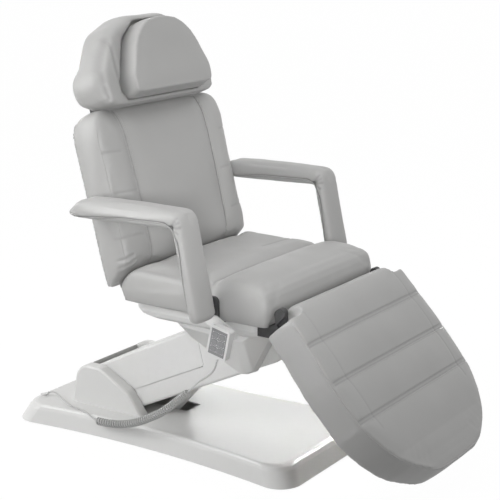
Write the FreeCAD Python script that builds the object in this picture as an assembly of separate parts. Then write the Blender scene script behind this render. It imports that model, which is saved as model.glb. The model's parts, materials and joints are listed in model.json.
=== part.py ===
import FreeCAD, Part
import math
import os

# Electric beauty chair. Lengths in millimetres, angles in degrees.
# The sitter faces forward (-Y), the sitter's left is +X and up is +Z.
# Places are written as x, forward, up from the middle of the base on the floor.
# The last step moves the whole chair so that the origin lies under the middle of its length.

# Base
base_length = 997
base_end_half = 260
base_waist_half = 226
base_end_top_half = 232
base_waist_top_half = 200
base_top_inset = 45
base_corner = 70
base_skirt_share = 0.72
base_top_z = 61
skirt_bottom_z = 5
cover_wall = 4
inlet_x = 90
inlet_z = 12
inlet_width = 48
inlet_height = 26
foot_height = 8
foot_radius = 20
foot_x = 196
foot_inset = 78.5
foot_places = (foot_inset - base_length / 2, -98, base_length / 2 - foot_inset)
floor_rail = 30
floor_rail_x = 196
floor_rail_inset = 73.5
floor_rail_end = base_length / 2 - floor_rail_inset

# Lift linkage: lower pivot, upper pivot, and how far the levelling link lies below them
lift_pivot_f = -262
lift_pivot_z = 112
seat_pivot_f = 323
seat_pivot_z = 363
link_drop = 46
pin_radius = 12
bush_wall = 4
boss_wall = 8
link_pin_radius = 8
running_fit = 0.05
seat_gap = 0.2
plate_inner_x = 52
plate_thick = 8
side_play = 1
rail_x = 70
rail_width = 25
rail_height = 50
rail_wall = 3
boss_inner_x = 62
boss_outer_x = 105
link_width = 16
link_height = 18
link_bar_x = -45
link_eye_wall = 8

# Arm covers
arm_half = 118
shell_wall = 3
arm_slope = 25.8
arm_lower_f = -118
arm_lower_z = 72
arm_rear_radius = 65
arm_shoulder_f = 60
arm_shoulder_z = 341
parting_f = (-163, 123, 109, 92)
parting_z = (114, 251, 302, 362)
parting_gap = 1.2
arm_rim = 7

# Rear housing round the foot of the arm
cheek_half = 155
cheek_slot_half = 121
housing_rear_f = -345
housing_toe_f = -80
housing_radius = 70
housing_wall = 3
housing_rim = 8

# Lift actuator
lift_motor_f = -90
lift_motor_z = 36
lift_rod_reach = 420
motor_radius = 22
rod_radius = 10
rod_eye_gap = 6.5
cross_tube_radius = 15

# Seat
seat_half = 286
seat_bottom_z = 472
seat_top_z = 556
seat_front_f = 448
seat_nose_f = -54
seat_roll_rise = 16
seat_crease_f = 268
board_thick = 12
board_edge = 18
pan_edge = 40
pan_half = seat_half - pan_edge
pan_rear_f = -44
pan_front_f = 390
pan_depth = 56
pan_rear_corner = 70
pan_wall = 4
pan_mouth_half = 124
pan_mouth_f = 60
frame_rail_inset = 96
frame_rail_x = pan_half - frame_rail_inset
frame_rail_width = 25
frame_rail_height = 40
frame_rear_f = 20
frame_front_f = 420
carriage_plate_f = 250
carriage_plate_length = 132
carriage_top_thick = 6

# Carriage cheeks below the seat
skirt_inner_x = 123
skirt_mid_x = 147
skirt_outer_x = 203
skirt_wall = 4

# Back
back_lean = 15
back_foot_f = -9
back_foot_z = 560
back_length = 430
back_overhang = 11
back_half = seat_half + back_overhang
back_thick = 87
back_face_rise = 17
back_seam_x = 187
back_pivot_f = -58
back_pivot_z = 468
back_tube = 25
back_tube_x = 150
ear_radius = 13
ear_thick = 8
hinge_pin_radius = 8
side_motor_inset = 32
side_motor_x = pan_half - side_motor_inset
back_ear_x = side_motor_x - 24
lever_x = back_ear_x + ear_thick + 2

# Head
head_gap = 2
head_rest_tilt = 2
head_height = 250
head_half = 267
head_rear = -82
head_front = 40
head_board_thick = 10
head_pocket = 25
head_post_size = 19
pillow_half = 178
pillow_height = 204
pillow_front = 90
pillow_bottom = 20
pillow_gap = 5

# Lock knob behind the near edge of the back
knob_radius = 14
knob_length = 24
knob_reach = 57
knob_drop = 52
knob_stem_radius = 5

# Leg rest
leg_slope = 48.6
leg_overhang = 16
leg_half = seat_half + leg_overhang
leg_thick = 83
leg_rim = 25
leg_rim_inner = seat_half - 20
leg_top = -118
leg_end = 446
leg_notch = -84
leg_seam_step = 115.6
leg_pivot_ahead = 24
leg_pivot_f = seat_front_f + leg_pivot_ahead
leg_pivot_z = 500
leg_seam_ahead = 118
leg_seam_drop = 51
leg_seam_f = leg_pivot_f + leg_seam_ahead
leg_seam_z = leg_pivot_z - leg_seam_drop
leg_ear_inset = 62
leg_ear_x = leg_half - leg_ear_inset
leg_notch_x = leg_ear_x - 4
leg_tube = 25
leg_rail_x = leg_ear_x - 34
leg_rail_top = -48
leg_rail_end = 340

# Actuators of the back and the leg rest, on the seat frame
side_motor_radius = 16
side_rod_radius = 8
side_eye_thick = 10
back_rod_drop = 41
leg_rod_drop = 63
lever_pin_radius = 5
lever_slot_play = 1.6
lever_sweep = 34
back_half_swing = 36
back_stroke_share = 1.107
leg_middle_swing = 20.5
leg_stroke_share = 1.07
back_motor_f = 80
leg_motor_f = 100
side_motor_length = 170

# Armrests
armrest_width = 90
armrest_pivot_f = 285
armrest_pivot_z = 510
armrest_rise = 252
armrest_pad_thick = 48
armrest_pad_dip = 10
armrest_reach = 407
armrest_foot = 39
armrest_post_depth = 39
armrest_lean = 12.3
armrest_bolt_radius = 6
armrest_core_width = 40
armrest_core_depth = 22
armrest_plate_gap = 4
armrest_plate_x = seat_half + armrest_plate_gap
armrest_pad_gap = 7
armrest_inner_x = armrest_plate_x + ear_thick + armrest_pad_gap

# Handset, hung beside the seat with its cord leaving at the level of the seat pivot
handset_reach = 32
handset_x = -armrest_plate_x - handset_reach
handset_width = 62
handset_height = 86
handset_thick = 22
handset_lean = 12
handset_wall = 2
relief_length = 14
button_rows = 3
button_columns = 2
button_width = 17
button_height = 14
button_pitch_x = 22
button_pitch_z = 20
button_proud = 1.4
button_travel = 1.0
button_fit = 0.3

# Curly cord of the handset
cord_radius = 2.4
curl_radius = 9.4
curl_count = 44
curl_start = FreeCAD.Vector(-283, 192, 236)
curl_way = ((-268, 113, 168), (-257, 41, 121), (-248, -37, 82), (-241, -117, 60))
curl_end = FreeCAD.Vector(-234, -187, 54.5)
upper_lead_way = ((-329, 309, 332), (-318, 283, 309), (-303, 240, 281))
gland_x = -170
gland_inset = 48.5
gland_reach = 22
gland_f = gland_inset - base_length / 2
gland_tip_f = gland_f + gland_reach
gland_tip_z = 73
gland_radius = 6
lower_lead_way = ((-217, -243, 67), (-206, -285, 64), (-195, gland_tip_f + 98, 64.5),
                  (-182, gland_tip_f + 58, 73))

nodes = {}


def at(x, f, z):
    """Point from sideways, forward and up."""
    return FreeCAD.Vector(x, -f, z)


def unit(a, b):
    """Plane vector of length one."""
    size = math.hypot(a, b)
    return a / size, b / size


def rounded_loop(corners, place):
    """Closed wire of straight runs with a tangent arc of the given radius at each corner."""
    count = len(corners)
    bends = []
    for i in range(count):
        a, b, radius = corners[i]
        before = unit(corners[i - 1][0] - a, corners[i - 1][1] - b)
        after = unit(corners[(i + 1) % count][0] - a, corners[(i + 1) % count][1] - b)
        if radius == 0:
            bends.append(((a, b), None, (a, b)))
            continue
        half = math.acos(before[0] * after[0] + before[1] * after[1]) / 2
        reach = radius / math.tan(half)
        middle = unit(before[0] + after[0], before[1] + after[1])
        depth = radius / math.sin(half) - radius
        bends.append((
            (a + before[0] * reach, b + before[1] * reach),
            (a + middle[0] * depth, b + middle[1] * depth),
            (a + after[0] * reach, b + after[1] * reach),
        ))
    edges = []
    for i in range(count):
        first, middle, last = bends[i]
        if middle:
            edges.append(Part.Arc(place(*first), place(*middle), place(*last)).toShape())
        following = bends[(i + 1) % count][0]
        if math.hypot(following[0] - last[0], following[1] - last[1]) > 1e-6:
            edges.append(Part.LineSegment(place(*last), place(*following)).toShape())
    return Part.Wire(edges)


def side_slab(corners, x0, x1):
    """Side view outline of forward, up and radius, drawn out from x0 to x1."""
    loop = rounded_loop(corners, lambda f, z: at(x0, f, z))
    return Part.Face(loop).extrude(FreeCAD.Vector(x1 - x0, 0, 0))


def rimmed(outline, half, rim):
    """Body with the same side view on both sides and a rounded rim round each face."""
    sections = []
    for back, inset in ((0, 1), (0.3, 0.3), (1, 0)):
        sections.append((half - rim * back, rim * inset))
    sections += [(-x, inset) for x, inset in reversed(sections)]
    loops = [rounded_loop(outline(inset), lambda f, z, x=x: at(x, f, z)) for x, inset in sections]
    return Part.makeLoft(loops, True, True)


def box(x0, x1, f0, f1, z0, z1):
    """Block between two corners."""
    return Part.makeBox(x1 - x0, f1 - f0, z1 - z0, at(x0, f1, z0))


def pin(f, z, radius, x0, x1):
    """Round bar along X."""
    return Part.makeCylinder(radius, x1 - x0, at(x0, f, z), FreeCAD.Vector(1, 0, 0))


def both_sides(shape):
    """The shape and its mirror image on the other side."""
    return [shape, mirrored(shape)]


def mirrored(shape):
    """Mirror image across the middle of the chair."""
    return shape.mirror(FreeCAD.Vector(0, 0, 0), FreeCAD.Vector(1, 0, 0))


def joined(shapes):
    """One solid from touching shapes."""
    whole = shapes[0].multiFuse(shapes[1:]) if len(shapes) > 1 else shapes[0]
    return whole.removeSplitter()


class Slope:
    """Side view frame of a tilted pad: along the pad, and out of its face."""

    def __init__(self, f, z, angle):
        self.f = f
        self.z = z
        self.along = (math.cos(math.radians(angle)), math.sin(math.radians(angle)))

    def face_normal(self, turn):
        return (-self.along[1] * turn, self.along[0] * turn)

    def side(self, a, n, turn):
        """Forward and up of a point a along the pad and n out of its face."""
        out = self.face_normal(turn)
        return self.f + self.along[0] * a + out[0] * n, self.z + self.along[1] * a + out[1] * n


back_slope = Slope(back_foot_f, back_foot_z, 90 + back_lean)
leg_slope_frame = Slope(leg_seam_f, leg_seam_z, -leg_slope)


def on_back(x, a, n):
    """Point on the back or head: across, up the back, out of its face."""
    f, z = back_slope.side(a, n, -1)
    return at(x, f, z)


def on_leg(x, a, n):
    """Point on the leg rest: across, down the leg, out of its face."""
    f, z = leg_slope_frame.side(a, n, 1)
    return at(x, f, z)


def block_on(place, x0, x1, a0, a1, n0, n1):
    """Block in the frame of a tilted pad."""
    loop = Part.makePolygon([place(x0, a0, n0), place(x0, a1, n0), place(x0, a1, n1), place(x0, a0, n1),
                             place(x0, a0, n0)])
    return Part.Face(loop).extrude(FreeCAD.Vector(x1 - x0, 0, 0))


def slab_on(place, corners, x0, x1):
    """Outline of along, out and radius in the frame of a tilted pad, drawn out from x0 to x1."""
    loop = rounded_loop(corners, lambda a, n: place(x0, a, n))
    return Part.Face(loop).extrude(FreeCAD.Vector(x1 - x0, 0, 0))


def pad_section(place, half, low, high, crown, shoulder, seam=0, seam_depth=0):
    """Cross section of a cushion: flat below, swelling sides, round shoulders and a crowned top."""
    foot = half - 7
    waist = half - 2
    inner = waist - shoulder
    bow = shoulder * (1 - math.sqrt(0.5))
    middle = (low + high - shoulder) / 2
    right = [
        ((foot, low), (half, middle), (waist, high - shoulder)),
        ((waist, high - shoulder), (waist - bow, high - bow), (inner, high)),
    ]
    top = []
    if seam:
        groove = 7
        seam_top = high + crown * 0.45
        outer = (inner + seam + groove) / 2
        top.append(((inner, high), (outer, (high + seam_top) / 2 + 2), (seam + groove, seam_top)))
        top.append(((seam + groove, seam_top), None, (seam, seam_top - seam_depth)))
        top.append(((seam, seam_top - seam_depth), None, (seam - groove, seam_top)))
        top.append(((seam - groove, seam_top), (0, high + crown), (groove - seam, seam_top)))
    else:
        top.append(((inner, high), (0, high + crown), (-inner, high)))
    runs = [((-foot, low), None, (foot, low))] + right + top
    mirror_runs = right if not seam else right + top[:3]
    for first, bend, last in reversed(mirror_runs):
        turned = None if bend is None else (-bend[0], bend[1])
        runs.append(((-last[0], last[1]), turned, (-first[0], first[1])))
    edges = []
    for first, bend, last in runs:
        if bend is None:
            edges.append(Part.LineSegment(place(*first), place(*last)).toShape())
        else:
            edges.append(Part.Arc(place(*first), place(*bend), place(*last)).toShape())
    return Part.Wire(edges)


def cushion(sections):
    """Closed cushion through its cross sections."""
    return Part.makeLoft(sections, True, True)


# Base

def base_outline(half_end, half_waist, end_f, z):
    """Plan of the floor cover: round corners and sides drawn in at the middle."""
    corner_f = end_f - base_corner
    corner_x = half_end - base_corner
    bow = base_corner * math.sqrt(0.5)
    side = half_end - 2
    points = [
        ((corner_x, end_f), (corner_x + bow, corner_f + bow), (side, corner_f)),
        ((side, corner_f), (half_waist, 0), (side, -corner_f)),
        ((side, -corner_f), (corner_x + bow, -corner_f - bow), (corner_x, -end_f)),
        ((corner_x, -end_f), None, (-corner_x, -end_f)),
        ((-corner_x, -end_f), (-corner_x - bow, -corner_f - bow), (-side, -corner_f)),
        ((-side, -corner_f), (-half_waist, 0), (-side, corner_f)),
        ((-side, corner_f), (-corner_x - bow, corner_f + bow), (-corner_x, end_f)),
        ((-corner_x, end_f), None, (corner_x, end_f)),
    ]
    edges = []
    for first, bend, last in points:
        ends = (at(first[0], first[1], z), at(last[0], last[1], z))
        if bend:
            edges.append(Part.Arc(ends[0], at(bend[0], bend[1], z), ends[1]).toShape())
        else:
            edges.append(Part.LineSegment(*ends).toShape())
    return Part.Wire(edges)


def base_form(inset, low, high):
    """Body of the floor cover, drawn in by a wall, with a sloped skirt and a round upper edge."""
    end_f = base_length / 2 - inset
    sections = []
    for height, share in ((0, 0), (base_skirt_share, 0.5), (0.88, 0.66), (0.97, 0.84), (1, 1)):
        half = base_end_half + (base_end_top_half - base_end_half) * share - inset
        waist = base_waist_half + (base_waist_top_half - base_waist_half) * share - inset
        sections.append(base_outline(half, waist, end_f - base_top_inset * share, low + (high - low) * height))
    return Part.makeLoft(sections, True, True)


link_pivot_z = lift_pivot_z - link_drop
carriage_link_z = seat_pivot_z - link_drop
frame_bottom_z = foot_height
frame_top_z = foot_height + floor_rail
deck_z = foot_height + 6
plate_outer_x = plate_inner_x + plate_thick
linkage_mouth = (lift_pivot_f - 50, lift_pivot_f + 102)
actuator_mouth = (lift_motor_f - 50, lift_motor_f + 90)


def make_base_cover():
    shell = base_form(0, skirt_bottom_z, base_top_z)
    hollow = base_form(cover_wall, skirt_bottom_z - 1, base_top_z - cover_wall)
    mouth = box(-cheek_slot_half + 9, cheek_slot_half - 9, *linkage_mouth, base_top_z - 20, base_top_z + 20)
    slot = box(-motor_radius - 14, motor_radius + 14, *actuator_mouth, base_top_z - 20, base_top_z + 20)
    socket = box(inlet_x - seat_gap, inlet_x + inlet_width + seat_gap, -base_length / 2 - 5, -floor_rail_end,
                 inlet_z - seat_gap, inlet_z + inlet_height + seat_gap)
    gland_hole = Part.makeCylinder(gland_radius - 2, 40, at(gland_x, gland_f, base_top_z - 20))
    return shell.cut(hollow).cut(mouth).cut(slot).cut(socket).cut(gland_hole)


def make_base_frame():
    pieces = both_sides(box(floor_rail_x - floor_rail, floor_rail_x, -floor_rail_end, floor_rail_end,
                            frame_bottom_z, frame_top_z))
    crossings = (-floor_rail_end, foot_places[1] - 2 * floor_rail, floor_rail_end - floor_rail)
    for f in crossings:
        pieces.append(box(-floor_rail_x + 5, floor_rail_x - 5, f, f + floor_rail, frame_bottom_z, frame_top_z))
    pieces.append(box(-floor_rail_x + 5, floor_rail_x - 5, -floor_rail_end + 5, lift_motor_f + 40,
                      frame_bottom_z, deck_z))
    plate = side_slab([
        (lift_pivot_f - 46, deck_z - 2, 0), (lift_pivot_f + 46, deck_z - 2, 0),
        (lift_pivot_f + 24, lift_pivot_z + 24, 23), (lift_pivot_f - 24, lift_pivot_z + 24, 23),
    ], plate_inner_x, plate_outer_x)
    pieces += both_sides(plate)
    lug = side_slab([
        (lift_motor_f - 22, deck_z - 2, 0), (lift_motor_f + 22, deck_z - 2, 0),
        (lift_motor_f + 14, lift_motor_z + 13, 10), (lift_motor_f - 14, lift_motor_z + 13, 10),
    ], motor_radius - 8, motor_radius - 2)
    pieces += both_sides(lug)
    frame = joined(pieces)
    for z, radius in ((lift_pivot_z, pin_radius), (link_pivot_z, link_pin_radius)):
        frame = frame.cut(pin(lift_pivot_f, z, radius + running_fit, -plate_outer_x - 5, plate_outer_x + 5))
    return frame.cut(pin(lift_motor_f, lift_motor_z, link_pin_radius + running_fit, -motor_radius, motor_radius))


def make_feet():
    feet = []
    for f in foot_places:
        for x in (-foot_x + foot_radius / 2, foot_x - foot_radius / 2):
            disc = Part.makeCone(foot_radius, foot_radius - 3, foot_height, at(x, f, 0))
            feet.append(disc)
    return feet


def housing_outline(inset):
    """Side view of the rear housing, its back round the lower pivot."""
    crown_z = lift_pivot_z + housing_radius - inset
    rear_top = lift_pivot_f - housing_radius + 8 + inset
    low = base_top_z
    return [
        (housing_rear_f + inset, low, 0), (housing_toe_f - inset * 1.5, low, 0),
        (housing_toe_f - 52 - inset, lift_pivot_z + 18 - inset, 50),
        (lift_pivot_f + 26, crown_z + 2, 30), (rear_top, crown_z + 2, 52 - inset),
    ]


def make_housing():
    body = rimmed(housing_outline, cheek_half, housing_rim)
    arm_way = pin(lift_pivot_f, lift_pivot_z, housing_radius - housing_wall, -cheek_slot_half, cheek_slot_half)
    ahead = side_slab([
        (housing_rear_f + housing_wall + 1, base_top_z - 5, 0), (housing_toe_f + 20, base_top_z - 5, 0),
        (housing_toe_f + 20, lift_pivot_z + 150, 0), (lift_pivot_f - 53, lift_pivot_z + 150, 0),
        (lift_pivot_f - 53, lift_pivot_z, 0), (lift_pivot_f - housing_radius + housing_wall, lift_pivot_z, 0),
    ], -cheek_slot_half, cheek_slot_half)
    body = body.cut(arm_way).cut(ahead)
    pocket_outline = housing_outline(housing_wall + 2)
    pocket = side_slab(pocket_outline, cheek_slot_half + housing_wall, cheek_half - housing_wall - 1)
    pocket = pocket.fuse(pocket.translated(FreeCAD.Vector(0, 0, -5))).removeSplitter()
    for hollow in both_sides(pocket):
        body = body.cut(hollow)
    return body


def make_lift_pins():
    return [
        pin(lift_pivot_f, lift_pivot_z, pin_radius, -boss_outer_x - 1, boss_outer_x + 1),
        pin(lift_pivot_f, link_pivot_z, link_pin_radius, -plate_outer_x - 1, plate_outer_x + 1),
        pin(lift_motor_f, lift_motor_z, link_pin_radius, -motor_radius + 1, motor_radius - 1),
    ]


def make_control_box():
    rear = -floor_rail_end + floor_rail + 4
    front = lift_pivot_f - 56
    low = deck_z + seat_gap
    high = base_top_z - cover_wall - 4
    return side_slab([(rear, low, 0), (front, low, 0), (front, high, 6), (rear, high, 6)], -110, 110)


def make_inlet():
    """Mains socket set in the rear skirt, its mouth level with the skirt."""
    rear_f = -base_length / 2
    top_z = inlet_z + inlet_height
    body = box(inlet_x, inlet_x + inlet_width, rear_f + 22, -floor_rail_end, inlet_z, top_z)
    mouth = box(inlet_x + 7, inlet_x + inlet_width - 7, rear_f + 21, rear_f + 40, inlet_z + 4, top_z - 4)
    middle_x = inlet_x + inlet_width / 2
    pins = [box(x - 1, x + 1, rear_f + 26, rear_f + 42, inlet_z + 10, inlet_z + 15)
            for x in (middle_x - 8, middle_x, middle_x + 8)]
    return joined([body.cut(mouth)] + pins)


# Lift arm

arm_run = math.hypot(seat_pivot_f - lift_pivot_f, seat_pivot_z - lift_pivot_z)
arm_angle = math.degrees(math.atan2(seat_pivot_z - lift_pivot_z, seat_pivot_f - lift_pivot_f))
arm_frame = Slope(lift_pivot_f, lift_pivot_z, arm_angle)
boss_bore = pin_radius + running_fit + bush_wall
boss_radius = boss_bore + boss_wall


def on_arm(x, u, v):
    """Point on the lift arm: across, along it from the lower pivot, above its axis."""
    f, z = arm_frame.side(u, v, 1)
    return at(x, f, z)


def make_lift_arm():
    half = rail_height / 2
    rail = block_on(on_arm, rail_x, rail_x + rail_width, 0, arm_run, -half, half)
    hollow = block_on(on_arm, rail_x + rail_wall, rail_x + rail_width - rail_wall, boss_radius + 10,
                      arm_run - boss_radius - 10, rail_wall - half, half - rail_wall)
    pieces = both_sides(rail.cut(hollow))
    for u in (0, arm_run):
        f, z = arm_frame.side(u, 0, 1)
        pieces += both_sides(pin(f, z, boss_radius, boss_inner_x, boss_outer_x))
    cover_seat = arm_half - shell_wall - seat_gap
    for u, half_length in ((150, cover_seat), (lift_rod_reach, rail_x + 2), (480, cover_seat)):
        f, z = arm_frame.side(u, 0, 1)
        pieces.append(pin(f, z, cross_tube_radius, -half_length, half_length))
    arm = joined(pieces)
    for u in (0, arm_run):
        f, z = arm_frame.side(u, 0, 1)
        arm = arm.cut(pin(f, z, boss_bore + 0.02, -boss_outer_x - 1, boss_outer_x + 1))
    return arm


def make_bushes():
    bushes = []
    for u in (0, arm_run):
        f, z = arm_frame.side(u, 0, 1)
        ring = pin(f, z, boss_bore, boss_inner_x, boss_outer_x)
        ring = ring.cut(pin(f, z, pin_radius + running_fit, boss_inner_x - 1, boss_outer_x + 1))
        bushes += both_sides(ring)
    return bushes


slope_along = (math.cos(math.radians(arm_slope)), math.sin(math.radians(arm_slope)))
nose_radius = ((seat_pivot_z - arm_lower_z) * slope_along[0] - (seat_pivot_f - arm_lower_f) * slope_along[1])


def arm_outline(inset):
    """Side view of the closed arm covers: straight runs and a round nose about the seat pivot."""
    nose = nose_radius - inset
    low_f = seat_pivot_f + nose * slope_along[1]
    low_z = seat_pivot_z - nose * slope_along[0]
    reach = 1.9 * nose
    tip_f = seat_pivot_f + reach * slope_along[0]
    start = lift_pivot_f + (arm_rear_radius - inset) * math.cos(math.radians(105))
    start_z = lift_pivot_z + (arm_rear_radius - inset) * math.sin(math.radians(105))
    lower_start = arm_lower_f - 8
    lower_z = low_z - (low_f - lower_start) * slope_along[1] / slope_along[0]
    top_f = seat_pivot_f - nose * slope_along[1]
    top_z = seat_pivot_z + nose * slope_along[0]
    front = 0.985 * nose
    return [
        (lower_start, lower_z, 0),
        (low_f + 0.42 * nose * slope_along[0], low_z + 0.42 * nose * slope_along[1], 0.6 * nose),
        (seat_pivot_f + front, seat_pivot_z - 0.25 * nose, 0.5 * nose),
        (seat_pivot_f + 0.72 * nose, seat_pivot_z + 0.69 * nose, 0.5 * nose),
        (top_f + 0.3 * nose, top_z + 0.1 * nose, 0.3 * nose),
        (arm_shoulder_f, arm_shoulder_z - inset, 0),
        (start, start_z, 0),
        (lift_pivot_f - arm_rear_radius + 2 + inset, lift_pivot_z + 22, 30),
        (lift_pivot_f - 28, lift_pivot_z - 26 + inset, 8),
        (parting_f[0], parting_z[0] - 18 + inset, 0),
    ]


def upper_region(grow):
    """Side view of the removable upper cover, above the parting line."""
    far = 160
    return [
        (lift_pivot_f - far, parting_z[0] - 40 - grow, 0), (lift_pivot_f - 20, parting_z[0] - 40 - grow, 0),
        (parting_f[0], parting_z[0] - grow, 0), (parting_f[1] + grow, parting_z[1] - grow, 10),
        (parting_f[2] + grow, parting_z[2], 0), (parting_f[3] + grow, parting_z[3] + 10, 0),
        (parting_f[3] + grow, parting_z[3] + far, 0), (lift_pivot_f - far, parting_z[3] + far, 0),
    ]


def arm_shell():
    body = rimmed(arm_outline, arm_half, arm_rim)
    hollow = side_slab(arm_outline(shell_wall + 1), shell_wall - arm_half, arm_half - shell_wall)
    rear_mouth = side_slab([
        (lift_pivot_f - 90, lift_pivot_z - 60, 0), (arm_lower_f - 4, base_top_z - 20, 0),
        (arm_lower_f + 8, arm_lower_z + 30, 0), (lift_pivot_f + 30, lift_pivot_z + 35, 0),
        (lift_pivot_f - 90, lift_pivot_z + 62, 0),
    ], shell_wall - arm_half, arm_half - shell_wall)
    top_mouth = box(-plate_outer_x - 6, plate_outer_x + 6, carriage_plate_f - 45, seat_pivot_f + 100,
                    seat_pivot_z + 12, seat_pivot_z + 120)
    motor_mouth = block_on(on_arm, -motor_radius - 6, motor_radius + 6, 150, 345, -130, -45)
    return body.cut(hollow).cut(rear_mouth).cut(top_mouth).cut(motor_mouth)


def make_arm_covers():
    shell = arm_shell()
    keep = side_slab(upper_region(0), -arm_half - 5, arm_half + 5)
    drop = side_slab(upper_region(parting_gap), -arm_half - 5, arm_half + 5)
    return shell.common(keep), shell.cut(drop)


def make_link():
    eye_radius = link_pin_radius + link_eye_wall
    eye_x = plate_inner_x - side_play
    link_frame = Slope(lift_pivot_f, link_pivot_z, arm_angle)
    low, high = -link_height / 2, link_height / 2
    corners = [(*link_frame.side(u, v, 1), 0) for u, v in ((0, low), (arm_run, low), (arm_run, high), (0, high))]
    pieces = [side_slab(corners, link_bar_x, link_bar_x + link_width)]
    ends = ((lift_pivot_f, link_pivot_z), (seat_pivot_f, carriage_link_z))
    for f, z in ends:
        pieces.append(pin(f, z, eye_radius, -eye_x, eye_x))
    link = joined(pieces)
    for f, z in ends:
        link = link.cut(pin(f, z, link_pin_radius + running_fit, -eye_x - 1, eye_x + 1))
    return link


# Lift actuator

rod_end_f, rod_end_z = arm_frame.side(lift_rod_reach, 0, 1)
motor_run = math.hypot(rod_end_f - lift_motor_f, rod_end_z - lift_motor_z)
motor_angle = math.degrees(math.atan2(rod_end_z - lift_motor_z, rod_end_f - lift_motor_f))
motor_frame = Slope(lift_motor_f, lift_motor_z, motor_angle)
motor_tube_end = 245


def along_motor(u):
    """Point on the lift actuator's axis."""
    f, z = motor_frame.side(u, 0, 1)
    return at(0, f, z)


def motor_bar(radius, u0, u1):
    """Round bar along the lift actuator's axis."""
    start = along_motor(u0)
    return Part.makeCylinder(radius, u1 - u0, start, along_motor(u1) - start)


def make_lift_motor():
    eye_x = motor_radius - 8 - side_play
    eye = pin(lift_motor_f, lift_motor_z, link_pin_radius + 6, -eye_x, eye_x)
    neck = motor_bar(11, 0, 34)
    tube = motor_bar(motor_radius, 30, motor_tube_end)
    body = joined([eye, neck, tube])
    body = body.cut(motor_bar(rod_radius + running_fit, 60, motor_tube_end + 1))
    return body.cut(pin(lift_motor_f, lift_motor_z, link_pin_radius + running_fit, -eye_x - 1, eye_x + 1))


def make_lift_rod():
    ring_bore = cross_tube_radius + rod_eye_gap
    ring = pin(rod_end_f, rod_end_z, ring_bore + 7, -12, 12)
    rod = motor_bar(rod_radius, 110, motor_run - ring_bore - 2)
    return joined([rod, ring]).cut(pin(rod_end_f, rod_end_z, ring_bore, -20, 20))


# Seat

board_bottom_z = seat_bottom_z - board_thick
carriage_top_z = board_bottom_z
frame_rail_top = carriage_top_z - carriage_top_thick
frame_rail_bottom = frame_rail_top - frame_rail_height
pan_bottom_z = board_bottom_z - pan_depth
back_rod_z = back_pivot_z - back_rod_drop
leg_rod_z = leg_pivot_z - leg_rod_drop
back_ear_outer = back_ear_x + ear_thick
leg_ear_outer = leg_ear_x + ear_thick
cross_rear = (frame_rear_f, frame_rear_f + 25)
cross_front = (frame_front_f - 25, frame_front_f)


def make_carriage():
    plate = side_slab([
        (carriage_plate_f, carriage_top_z - 2, 0), (carriage_plate_f + carriage_plate_length, carriage_top_z - 2, 0),
        (seat_pivot_f + 22, seat_pivot_z, 18), (seat_pivot_f + 15, carriage_link_z - 15, 14),
        (seat_pivot_f - 15, carriage_link_z - 15, 14), (seat_pivot_f - 22, seat_pivot_z, 18),
    ], plate_inner_x, plate_outer_x)
    top_half = frame_rail_x + frame_rail_width - 4
    top = box(-top_half, top_half, carriage_plate_f,
              carriage_plate_f + carriage_plate_length, frame_rail_top, carriage_top_z)
    carriage = joined(both_sides(plate) + [top])
    for z, radius in ((seat_pivot_z, pin_radius), (carriage_link_z, link_pin_radius)):
        carriage = carriage.cut(pin(seat_pivot_f, z, radius + running_fit, -plate_outer_x - 5, plate_outer_x + 5))
    return carriage


def make_carriage_pins():
    return [
        pin(seat_pivot_f, seat_pivot_z, pin_radius, -boss_outer_x - 1, boss_outer_x + 1),
        pin(seat_pivot_f, carriage_link_z, link_pin_radius, -plate_outer_x - 1, plate_outer_x + 1),
    ]


def skirt_cheek(inset):
    """Tapering cheek below the pan: a long side profile by the arm, a short one at its outer edge."""
    top = pan_bottom_z if inset == 0 else pan_bottom_z + 6
    rise = top - seat_pivot_z
    inner = [(-239, rise), (-227, -27), (-51, -108), (-10, -89), (61, rise)]
    middle = [(-238, rise), (-225, -20), (-49, -100), (-12, -83), (55, rise)]
    outer = [(-231, rise), (-215, 25), (-31, 15), (-7, 19), (23, rise)]
    radii = (0, 12, 22, 16, 0)
    sections = []
    places = ((skirt_inner_x + inset, inner), (skirt_mid_x - inset * 0.4, middle), (skirt_outer_x - inset, outer))
    for x, corners in places:
        centre_f = sum(f for f, z in corners) / len(corners)
        loop = []
        for (f, z), radius in zip(corners, radii):
            f_in = seat_pivot_f + f + math.copysign(inset, centre_f - f)
            z_in = seat_pivot_z + (z if z == rise else z + inset)
            loop.append((f_in, z_in, radius * (0.7 if inset else 1)))
        sections.append(rounded_loop(loop, lambda f, z, x=x: at(x, f, z)))
    return Part.makeLoft(sections, True, True)


def make_skirt():
    return skirt_cheek(0).cut(skirt_cheek(skirt_wall))


def pan_form(inset, low, high):
    """Tray below the seat with round rear corners and a drawn-in bottom."""
    def outline(grow, z):
        half = pan_half - inset - grow
        rear = pan_rear_f + inset + grow
        front = pan_front_f - inset
        corner = pan_rear_corner - inset
        corners = [(half, front, 20), (-half, front, 20), (-half, rear, corner), (half, rear, corner)]
        return rounded_loop(corners, lambda x, f: at(x, f, z))
    return Part.makeLoft([outline(26, low), outline(7, low + 12), outline(0, low + 26), outline(0, high)],
                         True, True)


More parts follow.
